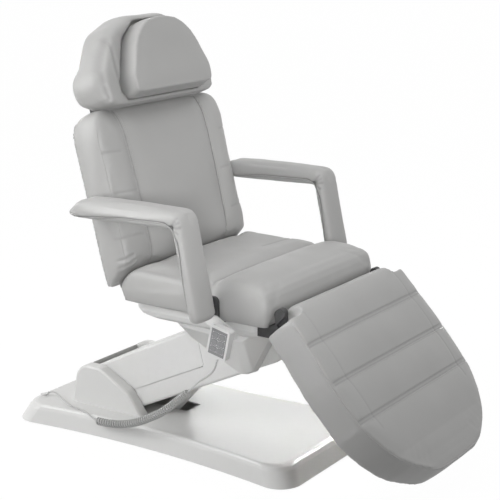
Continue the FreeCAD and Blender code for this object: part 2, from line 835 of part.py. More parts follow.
def make_pan():
    pan = pan_form(0, pan_bottom_z, board_bottom_z)
    pan = pan.cut(pan_form(pan_wall, pan_bottom_z + pan_wall, board_bottom_z + 5))
    mouth = box(-pan_mouth_half, pan_mouth_half, pan_mouth_f, pan_front_f + 10, pan_bottom_z - 5, board_bottom_z + 5)
    notch = box(back_ear_x - 4, side_motor_x + 12, pan_rear_f - 5, pan_rear_f + 126, frame_rail_bottom - 4,
                board_bottom_z + 5)
    lever_way = box(back_ear_outer, back_ear_outer + ear_thick + 6, pan_rear_f - 5, back_pivot_f + 62,
                    pan_bottom_z - 5, frame_rail_bottom)
    near_notch = box(-back_ear_outer - ear_thick - 5, 4 - back_ear_x, pan_rear_f - 5, pan_rear_f + 126,
                     frame_rail_bottom - 4, board_bottom_z + 5)
    rod_way = box(-side_motor_x - 12, -side_motor_x + 12, pan_front_f - 20, pan_front_f + 5, leg_rod_z - 12,
                  leg_rod_z + 12)
    stub = box(pan_half - 40, pan_half + 10, armrest_pivot_f - 15, armrest_pivot_f + 15, frame_rail_top - 10,
               board_bottom_z + 5)
    rail_way = box(frame_rail_x - 3, frame_rail_x + frame_rail_width + 3, pan_front_f - 20, pan_front_f + 5,
                   frame_rail_bottom - 3, board_bottom_z + 5)
    for cutter in both_sides(stub) + both_sides(rail_way) + [notch, near_notch, lever_way, mouth, rod_way]:
        pan = pan.cut(cutter)
    return pan


def make_seat_frame():
    rail = box(frame_rail_x, frame_rail_x + frame_rail_width, frame_rear_f, frame_front_f, frame_rail_bottom,
               frame_rail_top)
    hollow = box(frame_rail_x + 3, frame_rail_x + frame_rail_width - 3, frame_rear_f + 40, frame_front_f - 40,
                 frame_rail_bottom + 3, frame_rail_top - 3)
    pieces = both_sides(rail.cut(hollow))
    pieces.append(box(-back_ear_outer, back_ear_outer, *cross_rear, frame_rail_bottom, frame_rail_top))
    pieces.append(box(-leg_ear_outer, leg_ear_outer, *cross_front, frame_rail_bottom + 10, frame_rail_top))
    back_ear = side_slab([
        (cross_rear[1], frame_rail_bottom, 0), (cross_rear[1], frame_rail_top, 0),
        (back_pivot_f + 20, frame_rail_top + 4, 0),
        (back_pivot_f + ear_radius, back_pivot_z + ear_radius, 12),
        (back_pivot_f - ear_radius, back_pivot_z + ear_radius, 12),
        (back_pivot_f - ear_radius, back_pivot_z - ear_radius, 12), (0, frame_rail_bottom, 0),
    ], back_ear_x, back_ear_outer)
    pieces += both_sides(back_ear)
    leg_ear = side_slab([
        (cross_front[0], frame_rail_bottom + 10, 0), (cross_front[1] + 32, frame_rail_bottom + 10, 0),
        (leg_pivot_f + ear_radius, leg_pivot_z - 20, 0),
        (leg_pivot_f + ear_radius, leg_pivot_z + ear_radius, 12),
        (leg_pivot_f - ear_radius, leg_pivot_z + ear_radius, 12),
        (leg_pivot_f - ear_radius - 2, leg_pivot_z - 34, 0),
        (cross_front[1] + 5, frame_rail_top, 0), (cross_front[0], frame_rail_top, 0),
    ], leg_ear_x, leg_ear_outer)
    pieces += both_sides(leg_ear)
    plate_outer = armrest_plate_x + ear_thick
    stub = box(frame_rail_x + frame_rail_width - 2, plate_outer, armrest_pivot_f - 12, armrest_pivot_f + 12,
               frame_rail_top - 7, board_bottom_z - 1)
    upright = side_slab([
        (armrest_pivot_f - 18, frame_rail_top - 7, 0), (armrest_pivot_f + 18, frame_rail_top - 7, 0),
        (armrest_pivot_f + 18, armrest_pivot_z + 16, 15), (armrest_pivot_f - 18, armrest_pivot_z + 16, 15),
    ], armrest_plate_x, plate_outer)
    pieces += both_sides(stub) + both_sides(upright)
    frame = joined(pieces)
    for f, z, radius in ((back_pivot_f, back_pivot_z, hinge_pin_radius), (leg_pivot_f, leg_pivot_z, hinge_pin_radius),
                         (armrest_pivot_f, armrest_pivot_z, armrest_bolt_radius)):
        frame = frame.cut(pin(f, z, radius + running_fit, -plate_outer - 5, plate_outer + 5))
    rod_hole = Part.makeCylinder(side_rod_radius + 1.5, 60, at(-side_motor_x, cross_front[1] + 10, leg_rod_z),
                                 FreeCAD.Vector(0, 1, 0))
    return frame.cut(rod_hole)


def seat_board_form(grow):
    """Plywood let into the underside of the seat cushion, grown by a gap."""
    half = seat_half - board_edge + grow
    front = seat_front_f - 26 + grow
    corners = [(half, front, 40), (-half, front, 40), (-half, -grow, 50), (half, -grow, 50)]
    loop = rounded_loop(corners, lambda x, f: at(x, f, board_bottom_z - 5 * grow))
    return Part.Face(loop).extrude(FreeCAD.Vector(0, 0, board_thick + 6 * grow))


def make_seat_cushion():
    low = board_bottom_z
    top = seat_top_z
    roll = top + seat_roll_rise
    stations = [
        (seat_nose_f, seat_half - 20, low + 28, low + 40, 1, 4),
        (seat_nose_f + 8, seat_half - 11, low + 24, low + 54, 1, 9),
        (seat_nose_f + 22, seat_half - 6, low + 4, top - 24, 1, 16),
        (seat_nose_f + 44, seat_half - 3, low, top - 5, 2, 24),
        (seat_nose_f + 66, seat_half - 3, low, top + 2, 4, 28),
        (70, seat_half - 4, low, top, 6, 30),
        (180, seat_half - 5, low, top, 6, 32),
        (seat_crease_f - 14, seat_half - 4, low, top + 4, 5, 32),
        (seat_crease_f, seat_half - 6, low, top - 1, 3, 30),
        (seat_crease_f + 14, seat_half - 3, low, top + 7, 5, 34),
        (seat_front_f - 118, seat_half, low, roll, 5, 36),
        (seat_front_f - 68, seat_half - 1, low, roll - 2, 4, 36),
        (seat_front_f - 36, seat_half - 1, low, roll - 11, 3, 32),
        (seat_front_f - 16, seat_half - 3, low + 4, roll - 26, 2, 26),
        (seat_front_f - 5, seat_half - 10, low + 14, roll - 44, 1, 16),
        (seat_front_f, seat_half - 22, low + 28, roll - 60, 1, 8),
    ]
    sections = []
    for f, half, bottom, high, crown, shoulder in stations:
        sections.append(pad_section(lambda x, z, f=f: at(x, f, z), half, bottom, high, crown, shoulder))
    return cushion(sections).cut(seat_board_form(seat_gap))


def make_hinge_pins():
    pins = []
    pins += both_sides(pin(back_pivot_f, back_pivot_z, hinge_pin_radius, back_ear_x - 1,
                           back_ear_outer + 2 + ear_thick + 1))
    pins += both_sides(pin(leg_pivot_f, leg_pivot_z, hinge_pin_radius, leg_ear_x - 1,
                           leg_ear_outer + 2 + ear_thick + 1))
    return pins


def make_armrest_bolts():
    bolt = pin(armrest_pivot_f, armrest_pivot_z, armrest_bolt_radius, armrest_plate_x, armrest_inner_x + 45)
    return both_sides(bolt)


def side_motor(x, f0, z):
    """Actuator body against the seat frame's rail, open at the rod's end."""
    inner = frame_rail_x + frame_rail_width
    tube = Part.makeCylinder(side_motor_radius, side_motor_length, at(x, f0, z), FreeCAD.Vector(0, -1, 0))
    side = math.copysign(1, x)
    low, high = sorted((side * inner, x))
    gearbox = box(low, high, f0 + 40, f0 + 110, z - 14, z + 14)
    return joined([tube, gearbox])


def make_back_motor():
    body = side_motor(side_motor_x, back_motor_f, back_rod_z)
    bore = Part.makeCylinder(side_rod_radius + running_fit, 130, at(side_motor_x, back_motor_f - 1, back_rod_z),
                             FreeCAD.Vector(0, -1, 0))
    return body.cut(bore)


def make_leg_motor():
    body = side_motor(-side_motor_x, leg_motor_f, leg_rod_z)
    end_f = leg_motor_f + side_motor_length
    bore = Part.makeCylinder(side_rod_radius + running_fit, 130, at(-side_motor_x, end_f + 1, leg_rod_z),
                             FreeCAD.Vector(0, 1, 0))
    return body.cut(bore)


back_rod_end = back_pivot_f - back_rod_drop * back_stroke_share * math.radians(back_half_swing)
leg_rod_end = leg_pivot_f - leg_rod_drop * leg_stroke_share * math.radians(leg_middle_swing)


def rod_with_eye(x, eye_f, tail_f, z):
    """Actuator rod with a flat eye and a cross pin towards the lever."""
    side = math.copysign(1, x)
    eye_in = side * (lever_x + ear_thick + 1)
    low, high = sorted((eye_in, eye_in + side * side_eye_thick))
    eye = pin(eye_f, z, 9, low, high)
    reach = math.copysign(1, tail_f - eye_f)
    rod = Part.makeCylinder(side_rod_radius, abs(tail_f - eye_f), at(x, eye_f, z), FreeCAD.Vector(0, -reach, 0))
    near, far = sorted((0, eye_in))
    rod = rod.cut(box(near, far, eye_f - lever_sweep, eye_f + lever_sweep, z - 30, z + 30))
    start, stop = sorted((side * (lever_x - 0.6), eye_in + side * 2))
    return joined([rod, eye, pin(eye_f, z, lever_pin_radius, start, stop)])


# Back

pivot_a = ((back_pivot_f - back_foot_f) * back_slope.along[0] + (back_pivot_z - back_foot_z) * back_slope.along[1])
back_face = back_slope.face_normal(-1)
pivot_n = (back_pivot_f - back_foot_f) * back_face[0] + (back_pivot_z - back_foot_z) * back_face[1]
tube_n = (-back_thick - back_tube, -back_thick)


def seat_side_cut():
    """Side view of what lies below the back's foot."""
    nose = seat_nose_f
    top = seat_top_z
    return [
        (nose - 150, board_bottom_z - 80, 0), (nose + 214, board_bottom_z - 80, 0), (nose + 214, top + 164, 0),
        (nose + 68, top + 18, 0), (nose + 42, top + 2, 8), (nose + 4, top - 42, 8), (nose - 12, top - 66, 0),
        (nose - 76, top - 70, 0), (nose - 150, top - 70, 0),
    ]


def make_back_cushion():
    low = -back_thick
    face = back_face_rise
    stations = [
        (-84, back_half - 12, low, face - 26, 3, 24),
        (-40, back_half - 4, low, face - 18, 4, 28),
        (0, back_half - 2, low, face - 8, 5, 30),
        (50, back_half - 1, low, face - 1, 7, 30),
        (160, back_half - 2, low, face, 9, 30),
        (280, back_half - 2, low, face, 9, 30),
        (back_length - 70, back_half - 2, low, face - 2, 8, 30),
        (back_length - 40, back_half - 7, low, face - 7, 6, 28),
        (back_length - 18, back_half - 18, low + 3, face - 20, 4, 24),
        (back_length - 6, back_half - 34, low + 9, face - 33, 2, 18),
        (back_length, back_half - 52, low + 18, face - 46, 1, 10),
    ]
    sections = []
    for a, half, bottom, high, crown, shoulder in stations:
        depth = 5 if a > -60 else 2
        sections.append(pad_section(lambda x, n, a=a: on_back(x, a, n), half, bottom, high, crown, shoulder,
                                    back_seam_x, depth))
    pad = cushion(sections).cut(side_slab(seat_side_cut(), -back_half - 50, back_half + 50))
    pocket = box(back_ear_x - 3, back_ear_outer + ear_thick + 5, back_pivot_f - 70, back_pivot_f + 30,
                 back_pivot_z, back_pivot_z + 36)
    for hinge_pocket in both_sides(pocket):
        pad = pad.cut(hinge_pocket)
    return pad.cut(back_board_form(seat_gap))


def back_board_form(grow):
    """Plywood let into the rear of the back cushion, grown by a gap."""
    half = back_half - board_edge + grow
    low, high = -44 - grow, back_length - 36 + grow
    corners = [(half, low, 40), (half, high, 60), (-half, high, 60), (-half, low, 40)]
    loop = rounded_loop(corners, lambda x, a: on_back(x, a, -back_thick - 5 * grow))
    out = on_back(0, 0, board_thick + 6 * grow) - on_back(0, 0, 0)
    return Part.Face(loop).extrude(out)


def make_back_frame():
    foot_bar = pivot_a + 34
    tube = block_on(on_back, back_tube_x, back_tube_x + back_tube, foot_bar, back_length - 34, *tube_n)
    bore = block_on(on_back, back_tube_x + 3 - running_fit, back_tube_x + 3 + head_post_size + running_fit,
                    foot_bar + back_tube + 20, back_length, tube_n[0] + 3 - running_fit,
                    tube_n[1] - 3 + running_fit)
    ear_x0 = back_ear_outer + 2
    ear_x1 = ear_x0 + ear_thick
    pieces = both_sides(tube)
    pieces.append(block_on(on_back, -ear_x0 - 2, ear_x0 + 2, foot_bar, foot_bar + back_tube, *tube_n))
    pieces.append(block_on(on_back, -back_tube_x - 3, back_tube_x + 3, 180, 180 + back_tube, *tube_n))
    ear = slab_on(on_back, [
        (pivot_a - ear_radius, pivot_n + ear_radius, 12), (pivot_a + ear_radius, pivot_n + ear_radius, 12),
        (pivot_a + 16, tube_n[1] - 1, 0), (pivot_a + 70, tube_n[1] - 1, 0), (pivot_a + 70, tube_n[0], 0),
        (pivot_a + 12, tube_n[0], 0), (pivot_a - ear_radius, pivot_n - ear_radius, 12),
    ], ear_x0, ear_x1)
    pieces += both_sides(ear)
    swing = math.radians(-90 - back_half_swing)
    lever_frame = Slope(back_pivot_f, back_pivot_z, math.degrees(swing))
    reach = back_rod_drop / math.cos(math.radians(back_half_swing)) + 14
    lever = [(*lever_frame.side(r, v, 1), c) for r, v, c in
             ((0, -13, 0), (reach, -12, 11), (reach, 12, 11), (0, 13, 0))]
    pieces.append(side_slab(lever, ear_x0, ear_x1))
    frame = joined(pieces)
    for way in both_sides(bore):
        frame = frame.cut(way)
    frame = frame.cut(pin(back_pivot_f, back_pivot_z, hinge_pin_radius + running_fit, -ear_x1 - 5, ear_x1 + 5))
    slot_half = lever_pin_radius + lever_slot_play
    slot = [(*lever_frame.side(r, v, 1), 0) for r, v in
            ((back_rod_drop - 8, -slot_half), (reach - 5, -slot_half), (reach - 5, slot_half),
             (back_rod_drop - 8, slot_half))]
    frame = frame.cut(side_slab(slot, ear_x0 - 1, ear_x1 + 1))
    return frame.cut(pin(knob_f, knob_z, knob_stem_radius + running_fit, -back_tube_x - back_tube - 2, knob_tip_x))


# The knob's screw enters the near tube from the side
knob_tip_x = -back_tube_x - back_tube + 2.6
knob_f, knob_z = back_slope.side(back_length - knob_drop, (tube_n[0] + tube_n[1]) / 2 - 3, -1)


def make_knob():
    """Scalloped hand knob on its screw."""
    root_x = -back_tube_x - back_tube - knob_reach
    grip = pin(knob_f, knob_z, knob_radius, root_x - knob_length, root_x)
    for i in range(8):
        turn = math.radians(45 * i)
        hollow_f = knob_f + math.cos(turn) * (knob_radius + 4)
        hollow_z = knob_z + math.sin(turn) * (knob_radius + 4)
        grip = grip.cut(pin(hollow_f, hollow_z, 6, root_x - knob_length - 1, root_x + 1))
    return joined([grip, pin(knob_f, knob_z, knob_stem_radius, root_x - 4, knob_tip_x)])


# Head

head_foot = back_length + head_gap
head_pivot_a = head_foot + 40
head_pivot_n = head_rear - 11


head_shape = ((0.9, 0.0, 0.18), (1.02, 0.28, 0.3), (0.66, 0.86, 0.26), (0.3, 1.0, 0.2))
pillow_shape = ((0.98, 0.0, 0.09), (1.0, 0.25, 0.3), (0.71, 0.78, 0.22), (0.36, 1.0, 0.2))


def bell(shape, half, height, scale, foot_a, n):
    """Bell shaped outline of a head pad: straight foot, leaning flanks and a round top."""
    middle = 0.43 * height
    corners = []
    for x, t, r in shape:
        corners.append((x * half * scale, middle + (t * height - middle) * scale, r * height * scale))
    corners += [(-x, t, r) for x, t, r in reversed(corners)]
    return rounded_loop(corners, lambda x, t: on_back(x, foot_a + t, n))


def tilted(shape):
    """Turned back about the head's hinge by the tilt that it has at rest."""
    f, z = back_slope.side(head_pivot_a, head_pivot_n, -1)
    return shape.rotated(at(0, f, z), FreeCAD.Vector(-1, 0, 0), head_rest_tilt)


def make_head_cushion():
    front = head_front
    rear = head_rear + head_board_thick
    sections = [
        bell(head_shape, head_half, head_height, scale, head_foot, n)
        for n, scale in ((rear, 0.93), (rear + 18, 0.985), (rear + 48, 1.0), (front - 30, 0.985),
                         (front - 10, 0.94), (front, 0.88))
    ]
    pad = cushion(sections)
    hollow_half = pillow_half + pillow_gap
    hollow_height = pillow_height + 2 * pillow_gap
    hollow_foot = head_foot + pillow_bottom - pillow_gap
    hollow = Part.makeLoft([
        bell(pillow_shape, hollow_half, hollow_height, 1.0, hollow_foot, front - head_pocket),
        bell(pillow_shape, hollow_half, hollow_height, 1.0, hollow_foot, front + 20),
    ], True, True)
    return tilted(pad.cut(hollow))


def make_pillow():
    seat_n = head_front - head_pocket + 0.3
    stations = ((seat_n, 0.95), (seat_n + 12, 0.985), (head_front + 12, 1.0), (pillow_front - 14, 0.985),
                (pillow_front - 4, 0.95), (pillow_front, 0.9))
    sections = [bell(pillow_shape, pillow_half, pillow_height, scale, head_foot + pillow_bottom, n)
                for n, scale in stations]
    return tilted(cushion(sections))


def make_head_board():
    """Plywood behind the head cushion with the two hinge knuckles of the tilt."""
    loop = bell(head_shape, head_half, head_height, 0.88, head_foot, head_rear)
    out = on_back(0, 0, head_board_thick) - on_back(0, 0, 0)
    pieces = [Part.Face(loop).extrude(out)]
    knuckle = slab_on(on_back, [
        (head_pivot_a - 10, head_rear + 1, 0), (head_pivot_a - 10, head_pivot_n - 10, 9.5),
        (head_pivot_a + 10, head_pivot_n - 10, 9.5), (head_pivot_a + 10, head_rear + 1, 0),
    ], 100, 125)
    pieces += both_sides(knuckle)
    board = joined(pieces)
    f, z = back_slope.side(head_pivot_a, head_pivot_n, -1)
    return tilted(board.cut(pin(f, z, link_pin_radius - 2 + running_fit, -200, 200)))


def make_head_post():
    """Two square posts in the back frame's tubes, joined by a bar with the tilt eyes."""
    x0 = back_tube_x + 3
    n0 = tube_n[0] + 3
    n1 = tube_n[1] - 3
    bar_n = head_pivot_n - 11
    post = block_on(on_back, x0, x0 + head_post_size, back_length - 200, head_pivot_a + 6, n0, n1)
    bar = block_on(on_back, 80, x0 + 3, head_pivot_a - 10, head_pivot_a + 6, n0, bar_n)
    eye = slab_on(on_back, [
        (head_pivot_a - 10, n0, 0), (head_pivot_a - 10, head_pivot_n + 10, 9.5),
        (head_pivot_a + 10, head_pivot_n + 10, 9.5), (head_pivot_a + 10, n0, 4),
    ], 86, 99)
    middle = block_on(on_back, -84, 84, head_pivot_a - 10, head_pivot_a + 6, n0, bar_n)
    post_set = joined(both_sides(post) + both_sides(bar) + both_sides(eye) + [middle])
    f, z = back_slope.side(head_pivot_a, head_pivot_n, -1)
    return post_set.cut(pin(f, z, link_pin_radius - 2 + running_fit, -130, 130))


def make_head_pins():
    f, z = back_slope.side(head_pivot_a, head_pivot_n, -1)
    return both_sides(pin(f, z, link_pin_radius - 2, 85, 126))


# Leg rest

leg_tube_n = (-leg_thick - leg_tube, -leg_thick)
leg_pivot_a = ((leg_pivot_f - leg_seam_f) * leg_slope_frame.along[0]
               + (leg_pivot_z - leg_seam_z) * leg_slope_frame.along[1])
leg_face = leg_slope_frame.face_normal(1)
leg_pivot_n = (leg_pivot_f - leg_seam_f) * leg_face[0] + (leg_pivot_z - leg_seam_z) * leg_face[1]


def make_leg_cushion():
    under = -leg_thick
    low = under - leg_rim
    channel = 5
    stations = [
        (leg_top, leg_half - 8, under + 16, -30, 1, 8),
        (leg_top + 8, leg_half - 4, under + 6, -12, 1, 16),
        (leg_top + 24, leg_half - 1, under, -2, 2, 22),
        (leg_top + 30, leg_half - 1, low, -2, 2, 22),
        (-40, leg_half, low, 0, 4, 24),
    ]
    for i, bulge in enumerate((3, 11, 6)):
        seam = i * leg_seam_step
        stations += [
            (seam - 12, leg_half + bulge, low, 0, 4, 24),
            (seam, leg_half + bulge - 2, low, -channel, 2, 20),
            (seam + 12, leg_half + bulge, low, 0, 4, 24),
        ]
    last = 2 * leg_seam_step
    stations += [
        (last + 50, leg_half - 8, low, 0, 4, 24),
        (last + 90, leg_half - 28, low, -1, 4, 24),
        (last + 130, leg_half - 58, low, -4, 3, 24),
        (last + 160, leg_half - 92, low, -10, 3, 22),
        (last + 184, leg_half - 132, low + 1, -19, 2, 18),
        (leg_end - 10, leg_half - 174, low + 4, -33, 1, 12),
        (leg_end, leg_half - 204, low + 12, -48, 1, 6),
    ]
    sections = [
        pad_section(lambda x, n, a=a: on_leg(x, a, n), half, bottom, high, crown, shoulder)
        for a, half, bottom, high, crown, shoulder in stations
    ]
    pad = cushion(sections)
    notch = block_on(on_leg, leg_notch_x, leg_half + 20, leg_top - 20, leg_notch, low - 20, 40)
    ear_room = block_on(on_leg, leg_notch_x, leg_ear_outer + ear_thick + 6, leg_notch - 5, leg_notch + 40,
                        low - 20, 16 - leg_thick)
    for corner in both_sides(notch) + both_sides(ear_room) + [leg_frame_room()]:
        pad = pad.cut(corner)
    return pad.cut(leg_board_form(seat_gap))


def leg_frame_room():
    """Hollow inside the rim below the leg cushion, open towards the seat."""
    end_half = leg_rail_x + leg_tube + 5
    end = leg_rail_end + 6
    bend = 2 * leg_seam_step - 20
    corners = [
        (leg_rim_inner, leg_top - 30, 0), (leg_rim_inner, bend, 60), (end_half, end, 9), (-end_half, end, 9),
        (-leg_rim_inner, bend, 60), (-leg_rim_inner, leg_top - 30, 0),
    ]
    loop = rounded_loop(corners, lambda x, a: on_leg(x, a, -leg_thick - leg_rim - 20))
    return Part.Face(loop).extrude(on_leg(0, 0, leg_rim + 20) - on_leg(0, 0, 0))


def leg_board_form(grow):
    """Plywood let into the rear of the leg cushion, grown by a gap."""
    half = leg_half - board_edge - 12 + grow
    end_half = half - 110
    bend = 2 * leg_seam_step + 70
    top, end = leg_notch + 14 - grow, leg_end - 44 + grow
    corners = [
        (half, top, 20), (half, bend, 90), (end_half, end, 90), (-end_half, end, 90), (-half, bend, 90),
        (-half, top, 20),
    ]
    loop = rounded_loop(corners, lambda x, a: on_leg(x, a, -leg_thick - 5 * grow))
    out = on_leg(0, 0, board_thick + 6 * grow) - on_leg(0, 0, 0)
    return Part.Face(loop).extrude(out)


def make_leg_frame():
    rail = block_on(on_leg, leg_rail_x, leg_rail_x + leg_tube, leg_rail_top, leg_rail_end, *leg_tube_n)
    hollow = block_on(on_leg, leg_rail_x + 3, leg_rail_x + leg_tube - 3, leg_rail_top + 40, leg_rail_end - 40,
                      leg_tube_n[0] + 3, leg_tube_n[1] - 3)
    pieces = both_sides(rail.cut(hollow))
    for a in (leg_rail_top, leg_rail_end - leg_tube):
        pieces.append(block_on(on_leg, -leg_rail_x - 3, leg_rail_x + 3, a, a + leg_tube, *leg_tube_n))
    ear_x0 = leg_ear_outer + 2
    ear_x1 = ear_x0 + ear_thick
    reach_out = block_on(on_leg, leg_rail_x, ear_x0 + 2, leg_rail_top, leg_rail_top + leg_tube, *leg_tube_n)
    pieces += both_sides(reach_out)
    ear = slab_on(on_leg, [
        (leg_pivot_a - ear_radius, leg_pivot_n + ear_radius, 12),
        (leg_pivot_a + ear_radius, leg_pivot_n + ear_radius, 12),
        (leg_pivot_a + ear_radius + 4, leg_tube_n[1] - 2, 4), (leg_rail_top + 20, leg_tube_n[1] - 2, 0),
        (leg_rail_top + 20, leg_tube_n[0], 0), (leg_rail_top - 24, leg_tube_n[0], 20),
        (leg_pivot_a - ear_radius, leg_pivot_n - ear_radius, 12),
    ], ear_x0, ear_x1)
    pieces += both_sides(ear)
    lever_frame = Slope(leg_pivot_f, leg_pivot_z, -90 - leg_middle_swing)
    reach = leg_rod_drop / math.cos(math.radians(leg_middle_swing + 10))
    lever = [(*lever_frame.side(r, v, 1), c) for r, v, c in
             ((leg_rod_drop - 17, -11, 6), (reach + 13, -11, 9), (reach + 13, 52, 6), (leg_rod_drop + 1, 52, 0),
              (leg_rod_drop - 17, 13, 0))]
    pieces.append(side_slab(lever, -lever_x - ear_thick, -lever_x))
    frame = joined(pieces)
    frame = frame.cut(pin(leg_pivot_f, leg_pivot_z, hinge_pin_radius + running_fit, -ear_x1 - 5, ear_x1 + 5))
    slot_half = lever_pin_radius + lever_slot_play
    slot = [(*lever_frame.side(r, v, 1), 0) for r, v in
            ((leg_rod_drop - 9, -slot_half), (reach + 8, -slot_half), (reach + 8, slot_half),
             (leg_rod_drop - 9, slot_half))]
    return frame.cut(side_slab(slot, -lever_x - ear_thick - 1, -lever_x + 1))


# Armrests

def armrest_post(z, out):
    """Forward place on the leaning post at a height, out from its middle line."""
    return armrest_pivot_f + (armrest_pivot_z - z) * math.tan(math.radians(armrest_lean)) + out


def armrest_outline(inset):
    """Side view of an armrest: a long pad on a leaning post."""
    half = armrest_post_depth / 2 - inset
    top = armrest_pivot_z + armrest_rise - inset
    under = armrest_pivot_z + armrest_rise - armrest_pad_thick + inset
    tail = armrest_pivot_f - armrest_reach + inset
    tail_under = under - armrest_pad_dip
    foot = armrest_pivot_z - armrest_foot + inset
    return [
        (tail, tail_under + 8, 6), (tail + 38, top - 4, 30), (armrest_post(top, half), top, 34),
        (armrest_post(foot, half), foot, 0.85 * half), (armrest_post(foot, -half), foot, 0.85 * half),
        (armrest_post(under, -half), under, 12), (tail + 24, tail_under, 8),
    ]


def armrest_core_form():
    """Steel bar inside the armrest, bent at the top of the post, before its bore."""
    half = armrest_core_depth / 2
    x0 = armrest_inner_x + armrest_width / 2 - armrest_core_width / 2
    top = armrest_pivot_z + armrest_rise - 18
    under = top - 16
    tail = armrest_pivot_f - armrest_reach + 62
    eye = half + 2
    bar = side_slab([
        (tail, under, 4), (tail, top, 4), (armrest_post(top, half - 2), top, 10),
        (armrest_post(armrest_pivot_z, eye), armrest_pivot_z, 0),
        (armrest_pivot_f + eye, armrest_pivot_z - eye, eye - 1),
        (armrest_pivot_f - eye, armrest_pivot_z - eye, eye - 1),
        (armrest_post(armrest_pivot_z, -eye), armrest_pivot_z, 0), (armrest_post(under, 2 - half), under, 8),
    ], x0, x0 + armrest_core_width)
    sleeve = pin(armrest_pivot_f, armrest_pivot_z, armrest_bolt_radius + 5, armrest_inner_x - 6, x0 + 2)
    return joined([bar, sleeve])


def armrest_core():
    core = armrest_core_form()
    return core.cut(pin(armrest_pivot_f, armrest_pivot_z, armrest_bolt_radius + running_fit,
                        armrest_inner_x - 10, armrest_inner_x + 45 + running_fit))


def armrest_pad():
    stations = ((armrest_inner_x, 9), (armrest_inner_x + 8, 3), (armrest_inner_x + 26, 0),
                (armrest_inner_x + armrest_width - 26, 0), (armrest_inner_x + armrest_width - 8, 3),
                (armrest_inner_x + armrest_width, 9))
    sections = [rounded_loop(armrest_outline(inset), lambda f, z, x=x: at(x, f, z)) for x, inset in stations]
    return cushion(sections).cut(armrest_core_form())


# Handset

handset_frame = Slope(seat_pivot_f, seat_pivot_z, 90 - handset_lean)


def on_handset(x, a, n):
    """Point on the handset: thickness along X, up from the cord's exit, and towards the front."""
    f, z = handset_frame.side(a, n, -1)
    return at(x, f, z)


handset_split = handset_x - handset_thick * 0.45
handset_face = handset_x - handset_thick


def handset_block(x0, x1, inset):
    half = handset_width / 2 - inset
    corners = [(relief_length + inset, -half, 7), (relief_length + handset_height - inset, -half, 9),
               (relief_length + handset_height - inset, half, 9), (relief_length + inset, half, 7)]
    return slab_on(on_handset, corners, x0, x1)


def button_places():
    """Centres of the buttons, in two columns of three."""
    centre = relief_length + handset_height * 0.5
    places = []
    for row in range(button_rows):
        for column in range(button_columns):
            up = centre + (row - (button_rows - 1) / 2) * button_pitch_z
            across = (column - (button_columns - 1) / 2) * button_pitch_x
            places.append((row, column, up, across))
    return places


def button_block(up, across, grow, x0, x1):
    corners = [
        (up - button_height / 2 - grow, across - button_width / 2 - grow, 3),
        (up + button_height / 2 + grow, across - button_width / 2 - grow, 3),
        (up + button_height / 2 + grow, across + button_width / 2 + grow, 3),
        (up - button_height / 2 - grow, across + button_width / 2 + grow, 3),
    ]
    return slab_on(on_handset, corners, x0, x1)


def make_handset():
    cavity = handset_block(handset_face + handset_wall, handset_x - handset_wall, handset_wall)
    front = handset_block(handset_face, handset_split, 0).cut(cavity)
    rear = handset_block(handset_split, handset_x, 0).cut(cavity)
    for row, column, up, across in button_places():
        front = front.cut(button_block(up, across, button_fit, handset_face - 1, handset_face + handset_wall + 1))
    return front, rear


def make_button(up, across):
    """Key with a flange behind the face that keeps it in."""
    cap = button_block(up, across, 0, handset_face - button_proud, handset_face + handset_wall + 0.4)
    flange = button_block(up, across, 0.9, handset_face + handset_wall + 0.3, handset_face + handset_wall + 1.3)
    return joined([cap, flange])


def make_relief():
    x = (handset_x + handset_face) / 2
    start = on_handset(x, 0, 0)
    stop = on_handset(x, relief_length, 0)
    cone = Part.makeCone(cord_radius + 1, cord_radius + 2.4, relief_length, start, stop - start)
    return cone


def make_clip():
    """Hook on the armrest plate's foot that carries the handset by its back."""
    f0, z0 = handset_frame.side(relief_length + handset_height * 0.62, 4, -1)
    back = slab_on(on_handset, [
        (relief_length + handset_height * 0.45, -13, 4), (relief_length + handset_height * 0.92, -13, 4),
        (relief_length + handset_height * 0.92, 13, 4), (relief_length + handset_height * 0.45, 13, 4),
    ], handset_x, handset_x + 4)
    plate_x = -armrest_plate_x - ear_thick
    stay = side_slab([
        (armrest_pivot_f - 16, frame_rail_top - 5, 3), (f0 + 22, z0 - 8, 3), (f0 + 22, z0 + 14, 3),
        (armrest_pivot_f + 16, frame_rail_top + 22, 3), (armrest_pivot_f - 16, frame_rail_top + 22, 3),
    ], plate_x - 4, plate_x)
    arm = box(handset_x + 2, plate_x - 2, f0 - 6, f0 + 18, z0 - 6, z0 + 8)
    return joined([back, stay, arm])


# Cord

def biarc(p0, t0, p1, t1):
    """Two tangent arcs between two points with given directions."""
    chord = p1 - p0
    total = t0 + t1
    a = 2 * (1 - t0.dot(t1))
    b = 2 * chord.dot(total)
    c = -chord.dot(chord)
    d = -c / b if abs(a) < 1e-9 else (-b + math.sqrt(b * b - 4 * a * c)) / (2 * a)
    joint = (p0 + p1 + (t0 - t1) * d) * 0.5
    arcs = []
    for start, stop, control in ((p0, joint, p0 + t0 * d), (joint, p1, p1 - t1 * d)):
        middle = (start + stop) * 0.5
        rise = control - middle
        half = (stop - start).Length / 2
        if rise.Length < 1e-6:
            arcs.append(Part.LineSegment(start, stop).toShape())
            continue
        swing = math.atan2(rise.Length, half)
        crest = middle + rise * (half * math.tan(swing / 2) / rise.Length)
        arcs.append(Part.Arc(start, crest, stop).toShape())
    return arcs


def curl_axis():
    line = Part.BSplineCurve()
    points = [curl_start] + [FreeCAD.Vector(*p) for p in curl_way] + [curl_end]
    line.interpolate([at(p.x, p.y, p.z) for p in points])
    return line


